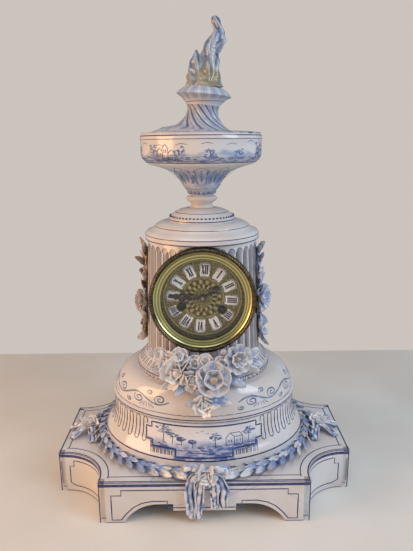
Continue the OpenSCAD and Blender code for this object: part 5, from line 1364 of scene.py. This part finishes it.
for side, name, turn in ((-1, "left", -2), (1, "right", -8)):
    stems = Clay()
    blooms = Clay()
    rings = []
    for i in range(stem_steps):
        z = garland_low + garland_h * i / (stem_steps - 1)
        centre, out = on_side(side, turn + 4 * math.sin(i * 0.9), z, 1.2)
        rings.append(oval_ring(centre, UP.cross(out), out, 4.2, 2.6))
    stems.tube(rings, [[0.5] * stem_sides] * stem_steps)
    for i in range(stem_steps):
        z = garland_low + 3 + (garland_h - 6) * i / (stem_steps - 1)
        sway = 1 if i % 2 else -1
        place, out = on_side(side, turn + sway * 2, z, 2.5)
        across = UP.cross(out)
        hand = random.Random(400 + i * side)
        rise = hand.uniform(0.25, 1.0) if z > garland_middle else -hand.uniform(0.25, 1.0)
        way = across * sway * hand.uniform(0.45, 1.0) + UP * rise + out * hand.uniform(0.15, 0.5)
        leaf(stems, place, way, out, hand.uniform(14, 22), hand.uniform(10, 14), i, hand.uniform(0.0, 0.5),
             hand.uniform(-0.1, 0.2))
    if side < 0:
        centre, out = on_side(side, turn, 240, 5)
        flower(blooms, centre, out + Vector((0, -0.5, 0.1)), 15, 7, 3, 0.3, 0.3, 3)
        small_blooms = ((-10, 222, 3, 0, 8, 4), (-3, 276, 2, 0, 9, 7), (0, 199, 2, 0.2, 9, 8))
    else:
        centre, out = on_side(side, turn, garland_middle, 3)
        flower(blooms, centre, out + Vector((0, -0.5, 0.1)), 17, 7, 2, 0.26, 0.25, 5)
        small_blooms = ((-8, 214, 3, 0, 8, 6), (-3, 276, 2, 0, 9, 7), (0, 199, 2, 0.2, 9, 8))
    for aside, z, lift, droop, radius, seed in small_blooms:
        place = on_side(side, turn + aside, z, lift)[0]
        flower(blooms, place, out - UP * droop, radius, 5, 1, 0.3, 0.1, seed)
    for sway in (-1, 1):
        place, out = on_side(side, turn, 306, 2)
        across = UP.cross(out)
        leaf(stems, place, across * sway + UP * 0.5, out, 17, 9, 20 + sway, 0.1, 0.3)
        leaf(stems, place, across * sway * 0.4 - UP, out, 20, 7, 22 + sway, 0.1, 0.1)
    # The left garland takes the ochre-tinted glazes: painted warm light.
    stems.piece(name + "_garland_leaves", warm_lit_leaves if side < 0 else leaf_glaze, name + "_garland")
    blooms.piece(name + "_garland_blooms", warm_lit_blooms if side < 0 else flower_glaze)

# Garland round the foot of the drum: a rope of overlapping leaves lying on the plinth, tied with
# a bow in front and one at each end.
rope_a = 138.1
rope_b = 113.96
rope_rise = 4.8


def rope_at(degrees):
    """The rope's middle at an angle, with the ways outwards and along it."""
    a = math.radians(degrees)
    place = Vector((rope_a * math.cos(a), rope_b * math.sin(a), plinth_h + rope_rise))
    out = Vector((math.cos(a) / rope_a, math.sin(a) / rope_b, 0)).normalized()
    along = Vector((-rope_a * math.sin(a), rope_b * math.cos(a), 0)).normalized()
    return place, out, along


rope = Clay()
rope_steps = 96
rings = []
for i in range(rope_steps):
    place, out, along = rope_at(360.0 * i / rope_steps)
    rings.append(oval_ring(place, out, UP, 5.0, 4.6))
rope.tube(rings, [[0.6] * stem_sides] * rope_steps, closed=True)
rng = random.Random(11)
rope_leaves = 156
for i in range(rope_leaves):
    t = 360.0 * i / rope_leaves
    place, out, along = rope_at(t)
    way = along if 90 < t < 270 else -along
    splay = (-0.75, 0.0, 0.75)[i % 3]
    lift = (0.35, 0.8, 0.3)[i % 3]
    face = (UP * (1.4 if i % 3 == 1 else 0.6) + out * (0.25 + splay)).normalized()
    leaf(rope, place + face * 3.2, way + out * splay * 0.5 + UP * (0.04 + 0.08 * rng.random()), face,
         23 + 4 * rng.random(), 9.5, i, 0.5 * rng.random(), 0.05)
rope.piece("foot_garland", leaf_glaze, "base_garland")

# Bows: strips of clay crumpled like ribbon round a knot with a rose in it. One hangs down the
# plinth's front, and one lies on the plinth at each end of the drum.
ribbon_marks = 9


def ribbon(clay, path, width, normal, waves, depth, thick, blue=0.0):
    """A crumpled strip of clay along a path in millimetres. The width is one number or one for each
    point of the path."""
    rows = []
    paints = []
    steps = len(path)
    for i, p in enumerate(path):
        before = Vector(path[max(i - 1, 0)])
        after = Vector(path[min(i + 1, steps - 1)])
        along = (after - before).normalized()
        side = along.cross(normal).normalized()
        half = width[i] / 2 if isinstance(width, list) else width / 2
        row = []
        row_paint = []
        for j in range(ribbon_marks):
            s = 2 * j / (ribbon_marks - 1) - 1
            crease = noise.noise(Vector((i * 0.55, s * 1.6, path[0][0] * 0.7)))
            fold = math.cos(waves * math.pi * s + 2.2 * crease)
            high = fold * half * depth * 2 + crease * 3.0
            row.append((Vector(p) + side * half * (s + 0.25 * crease) + normal * high) * MM)
            row_paint.append(0.3 - 0.22 * fold - 0.9 * crease + blue)
        rows.append(row)
        paints.append(row_paint)
    clay.sheet(rows, paints, [thick] * steps)


def curve(points, steps):
    """A smooth path through a few points."""
    path = []
    for i in range(len(points) - 1):
        a, b, c, d = [Vector(points[min(max(k, 0), len(points) - 1)]) for k in (i - 1, i, i + 1, i + 2)]
        path += [between(a, b, c, d, s / steps) for s in range(steps)]
    return path + [Vector(points[-1])]


bow_glaze = painted_clay("bow_glaze", (0.72, 0.7, 0.7), (0.05, 0.08, 0.26), (0.3, 0.38, 0.58))
bow = Clay()
ahead = Vector((0, -1, 0.1))
bow_steps = 5
mound(bow, (0.7, -121, 64), ahead, (12, 10, 7), 1)
# points and widths of the four hanging strips, whose very ends flare again
bow_strips = (
    ([(-4, -122, 66), (-14, -122.5, 60), (-17, -123.5, 42), (-15, -123.5, 24), (-16, -123.5, 8)],
     [8, 11, 13, 13, 11]),
    ([(0, -122.5, 64), (-5, -124.5, 52), (-6, -124.5, 34), (-8, -122.5, 16), (-7, -123.5, 5)],
     [8, 10, 11, 10, 8]),
    ([(3, -122.5, 64), (10, -124.5, 52), (11, -124.5, 40), (12, -122.5, 28), (11, -123.5, 20)],
     [8, 10, 10, 9, 7]),
    ([(5, -122, 66), (17, -123.5, 60), (22, -122.5, 46), (21, -123.5, 32), (23, -123.5, 22)],
     [8, 11, 13, 12, 9]))
bow_loops = ([(2, -122, 66), (14, -123.5, 73), (25, -122, 70), (24, -122, 62), (8, -122, 62)],
             [(-2, -122, 66), (-12, -122.5, 74), (-23, -121, 71), (-22, -121, 62), (-7, -122, 62)])
for points, width in bow_strips:
    widths = [a + (b - a) * k / bow_steps for a, b in zip(width, width[1:]) for k in range(bow_steps)]
    ribbon(bow, curve(points, bow_steps), widths + [width[-2]], ahead, 2, 0.24, 2.4, 0.14)
for points in bow_loops:
    ribbon(bow, curve(points, bow_steps), 10, ahead, 1, 0.12, 2.4, 0.1)
bud(bow, (1, -122.5, 66), ahead, 9, 2)
bow.piece("front_bow_ribbon", bow_glaze, "front_bow")
knot_strips = ([(157, -4, 62), (150, -24, 62), (146, -40, 58)], [(157, -2, 62), (150, 20, 62), (146, 36, 58)],
               [(158, -4, 62), (168, -18, 61), (176, -30, 58)], [(158, -2, 62), (168, 12, 61), (176, 24, 58)],
               [(158, -3, 63), (172, -4, 62), (184, -3, 58)])
for side, name in ((-1, "left"), (1, "right")):
    knot = Clay()
    mound(knot, (side * 157, -4, 59), UP, (9, 8, 5), 2)
    for points in knot_strips:
        ribbon(knot, curve([(side * x, y, z) for x, y, z in points], 6), 10, UP, 2, 0.2, 2.2, 0.2)
    bud(knot, (side * 157, -3, 62), UP + Vector((0, -0.4, 0)), 8, 4)
    knot.piece(name + "_bow_ribbon", bow_glaze, name + "_bow")

# Bezel: a spun and lacquered brass door with a dark milled rim, hung on a pinned hinge, over a
# fixed ring of dark bronze that sits in the case's front bore.
dial_turn = math.radians(5.0)
dial_centre = Vector((0, -64, 259))


def brass(name, light, dark, lathe_rings=False, low=0.16, high=0.36, size=18.0):
    """Lacquered brass: tarnish in clouds, and fine rings where the lathe left them."""
    metal = Surface(name)
    tarnish = metal.noise(size, 4.0).fade(0.3, 0.7)
    metal.colour(metal.mixed(tarnish, light, dark))
    metal.rough(metal.noise(size / 2, 3.0), low, high)
    metal.set(Metallic=1.0)
    if lathe_rings:
        radius = metal.x.distance(metal.z - dial_centre.z)
        metal.bump((radius * 9.0).math("SINE"), 0.02, 0.35)
    else:
        metal.bump(metal.noise(2.0, 2.0), 0.05, 0.3)
    return metal.material


door = smoothed("door_ring", 30.0, body="front_door")
gold = (0.62, 0.58, 0.27)
gold_shade = (0.34, 0.32, 0.14)
door_brass = brass("door_brass", gold, gold_shade, True, size=9.0)
rim_bronze = Surface("rim_bronze")
door_r = rim_bronze.x.distance(rim_bronze.z - dial_centre.z)
aged = rim_bronze.noise(7.0, 3.0).fade(0.35, 0.65)
turnings = (door_r * 1.9).math("SINE").fade(-0.6, 0.8)
yellow = rim_bronze.mixed(turnings, (0.3, 0.29, 0.12), gold)
dark = rim_bronze.mixed(aged, (0.12, 0.095, 0.055), (0.045, 0.04, 0.032))
rim_bronze.colour(rim_bronze.mixed(door_r.fade(57.0, 57.8), yellow, dark))
rim_bronze.rough(rim_bronze.noise(9.0, 3.0), 0.2, 0.38)
rim_bronze.set(Metallic=1.0)
rim_bronze.bump((door_r * 1.9).math("SINE"), 0.3, 0.5)
dressed(door, rim_bronze.material)
bezel = smoothed("bezel_ring", 30.0)
bronze = brass("milled_bronze", (0.17, 0.13, 0.075), (0.05, 0.045, 0.035), False, 0.25, 0.45, 8.0)
dressed(bezel, bronze)

# The milled rim: ribs cut round the edge of the door, on a circle that stands on the dial's axis.
door_skin = sight(door)
ribs = 120
rib_r = 60.8
rib_proud = 0.5
rib_form = ball("rib_form", (1.9, 1.15, 1.5), 8, 6)
rib_seat = door_skin.ray_cast(Vector((rib_r, -300, dial_centre.z)) * MM, Vector((0, 1, 0)))[0]
rib_place = (0, rib_seat.y + rib_proud * MM, dial_centre.z * MM)
ring_copies("door_milling", rib_form, bronze, ribs, rib_r * MM, rib_place, "front_door",
            stood_up=math.pi / 2)
dressed(smoothed("front_hinge_pin", 30.0), door_brass)

# The door's round glass: clear where it is looked through and a mirror at its edges.
pane = Surface("door_glass")
pane.colour(pane.mixed(pane.noise(30.0), (0.92, 0.95, 0.95), (0.86, 0.88, 0.88)))
pane.rough(pane.noise(20.0), 0.02, 0.05)
pane.set(Metallic=1.0)
facing = Formula(pane.tree, pane.tree.nodes.new("ShaderNodeLayerWeight").outputs["Facing"])
mirrored = facing * facing * facing * 0.5 + 0.035
pane.tree.links.new(mirrored.socket, pane.shader.inputs["Alpha"])
dressed(smoothed("glass", 30.0, body="front_door"), pane.material)

# Dial: a stamped and gilt brass plate that carries twelve enamel plaques, one for each hour. It
# stands a few degrees off the upright, turned with the movement behind it.
dial = smoothed("dial", 30.0)
stamped = Surface("stamped_brass")
up_off = stamped.z - dial_centre.z
dial_r = stamped.x.distance(up_off)
dial_a = stamped.x.math("ARCTAN2", up_off)
rays = 16.0
petals_wave = (dial_a * rays).math("SINE") * (dial_r * 0.55).math("SINE")
grain = stamped.noise(2.4, 3.0) - 0.5
relief = petals_wave * dial_r.fade(8.0, 12.0) * dial_r.fade(26.0, 23.0) + grain * 1.6
relief = relief + dial_r.line(24.6, 0.5) * 1.5 + dial_r.line(46.0, 0.6) * 1.5
stamped.colour(stamped.mixed(relief.fade(-0.5, 0.9), (0.09, 0.08, 0.035), (0.56, 0.47, 0.2)))
stamped.rough(stamped.noise(6.0), 0.3, 0.5)
stamped.set(Metallic=1.0)
stamped.bump(relief, 0.5, 1.0)
dressed(dial, stamped.material)

# Plaques: twelve pads of white enamel, each with its painted roman hour inside a thin black line.
plaques = smoothed("cartouches", 30.0)
enamel = Surface("plaque_enamel")
enamel.colour(enamel.mixed(enamel.noise(5.0).fade(0.3, 0.7), (0.86, 0.85, 0.82), (0.8, 0.78, 0.74)))
enamel.rough(enamel.noise(4.0), 0.1, 0.2)
dressed(plaques, enamel.material)
plaque_skin = sight(plaques)


def on_dial(x, y):
    """World x and z of a point of the dial, given as it is read upright."""
    return (x * math.cos(dial_turn) + y * math.sin(dial_turn),
            dial_centre.z - x * math.sin(dial_turn) + y * math.cos(dial_turn))


def plaque_runs(marks):
    """Paths of a line on the plaques, broken where a winding hole cuts in."""
    runs = [[]]
    for mark in marks:
        hit = front_path(plaque_skin, [mark])
        if hit:
            runs[-1] += hit
        elif runs[-1]:
            runs.append([])
    return [run for run in runs if len(run) > 1]


# strokes of each letter, in letter widths and heights, with the thick stroke first
letters = {"I": [((0, 0), (0, 1))],
           "V": [((-0.5, 1), (0, 0)), ((0.5, 1), (0, 0))],
           "X": [((-0.5, 1), (0.5, 0)), ((0.5, 1), (-0.5, 0))]}
advance = {"I": 0.9, "V": 1.5, "X": 1.5}
hours = ["XII", "I", "II", "III", "IIII", "V", "VI", "VII", "VIII", "IX", "X", "XI"]
figures = Brush()
figure_h = 11.4
figure_unit = 2.5
figure_room = 10.2
letter_marks = 8
plaque_r = 35.0
plaque_outline = [(-5.9, -7.9), (-5.9, 4.6), (-3.9, 7.0), (0, 7.9), (3.9, 7.0), (5.9, 4.6),
                  (5.9, -7.9), (-5.9, -7.9)]


def on_plaque(hour, u, v):
    """World x and z of a point of one hour's plaque: u runs across it and v outwards."""
    a = math.radians(30 * hour)
    up = plaque_r + v
    return on_dial(u * math.cos(a) + up * math.sin(a), up * math.cos(a) - u * math.sin(a))


for hour, word in enumerate(hours):
    total = sum(advance[c] for c in word)
    squeeze = min(1.0, figure_room / (total * figure_unit))
    at = -total / 2
    for c in word:
        middle_u = at + advance[c] / 2
        at += advance[c]
        for index, (low, high) in enumerate(letters[c]):
            marks = []
            for k in range(letter_marks):
                t = k / (letter_marks - 1)
                u = (middle_u + low[0] + (high[0] - low[0]) * t) * figure_unit * squeeze
                v = (low[1] + (high[1] - low[1]) * t - 0.5) * figure_h
                marks.append(on_plaque(hour, u, v))
            thick = (2.0 if c == "I" or index == 0 else 1.1) * max(squeeze, 0.65)
            for run in plaque_runs(marks):
                figures.stroke(run, thick)
    for run in plaque_runs([on_plaque(hour, u, v) for u, v in filled(plaque_outline, 2.5)]):
        figures.stroke(run, 0.8)


def drifting(name, light, dark, clouds, detail, gloss_clouds, low, high, metallic):
    """A finish whose colour and gloss drift between two values in clouds."""
    skin = Surface(name)
    skin.colour(skin.mixed(skin.noise(clouds, detail), light, dark))
    skin.rough(skin.noise(gloss_clouds), low, high)
    skin.set(Metallic=metallic)
    return skin.material


black = drifting("numeral_black", (0.02, 0.02, 0.05), (0.05, 0.05, 0.09), 3.0, 2.0, 3.0, 0.2, 0.3, 0.0)
figures.piece("hour_figures", black, slot="enamel")

# Hands: pierced and blued steel, on the hour pipe and the minute arbor in front of the dial.
blued = drifting("blued_steel", (0.03, 0.035, 0.06), (0.07, 0.06, 0.06), 8.0, 2.0, 5.0, 0.25, 0.4, 1.0)
for node, body in (("hour_hand", "hour_group"), ("minute_hand", "minute_group")):
    dressed(smoothed(node, 30.0, body=body), blued)

# Movement: plates, wheels and barrels of hard brass with cut steel arbors, held between two round
# plates. The bell, the pendulum, the straps and the rear door hang behind it.
wheel_brass = brass("wheel_brass", (0.6, 0.48, 0.24), (0.44, 0.35, 0.17))
# A near-black steel for the arbors seen through the winding holes: painted shade inside the holes.
hole_shade_steel = drifting("winding_hole_shade", (0.05, 0.04, 0.035), (0.02, 0.018, 0.016), 6.0, 3.0, 4.0, 0.4, 0.6, 0.6)
steel = drifting("cut_steel", (0.4, 0.4, 0.41), (0.26, 0.26, 0.27), 6.0, 3.0, 4.0, 0.25, 0.42, 1.0)
bell_metal = brass("bell_metal", (0.5, 0.47, 0.36), (0.36, 0.33, 0.24), False, 0.12, 0.25)
hard_brass = ("front_plate", "back_plate", "pillars", "back_cock", "bell_stand", "straps", "rear_bezel",
              "centre_wheel", "hand_collet", "hour_wheel", "minute_wheel", "going_barrel",
              "second_wheel", "third_wheel", "escape_wheel", "pendulum_bob", "strike_barrel",
              "strike_second_wheel", "count_wheel", "pin_wheel", "stop_wheel", "fly")
hard_steel = ("strap_screws", "cannon_pinion", "going_click", "pallets", "pendulum_rod",
              "strike_click", "hammer")
for members, metal in ((hard_brass, wheel_brass), (hard_steel, steel), (("bell",), bell_metal),
                       (("rear_hinge_pin", "rear_door"), door_brass),
                       # The winding arbors take the near-black steel, as painted shade in the winding holes.
                       (("going_arbor", "strike_arbor"), hole_shade_steel)):
    for node in members:
        dressed(nodes[node], metal)

low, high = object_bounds()
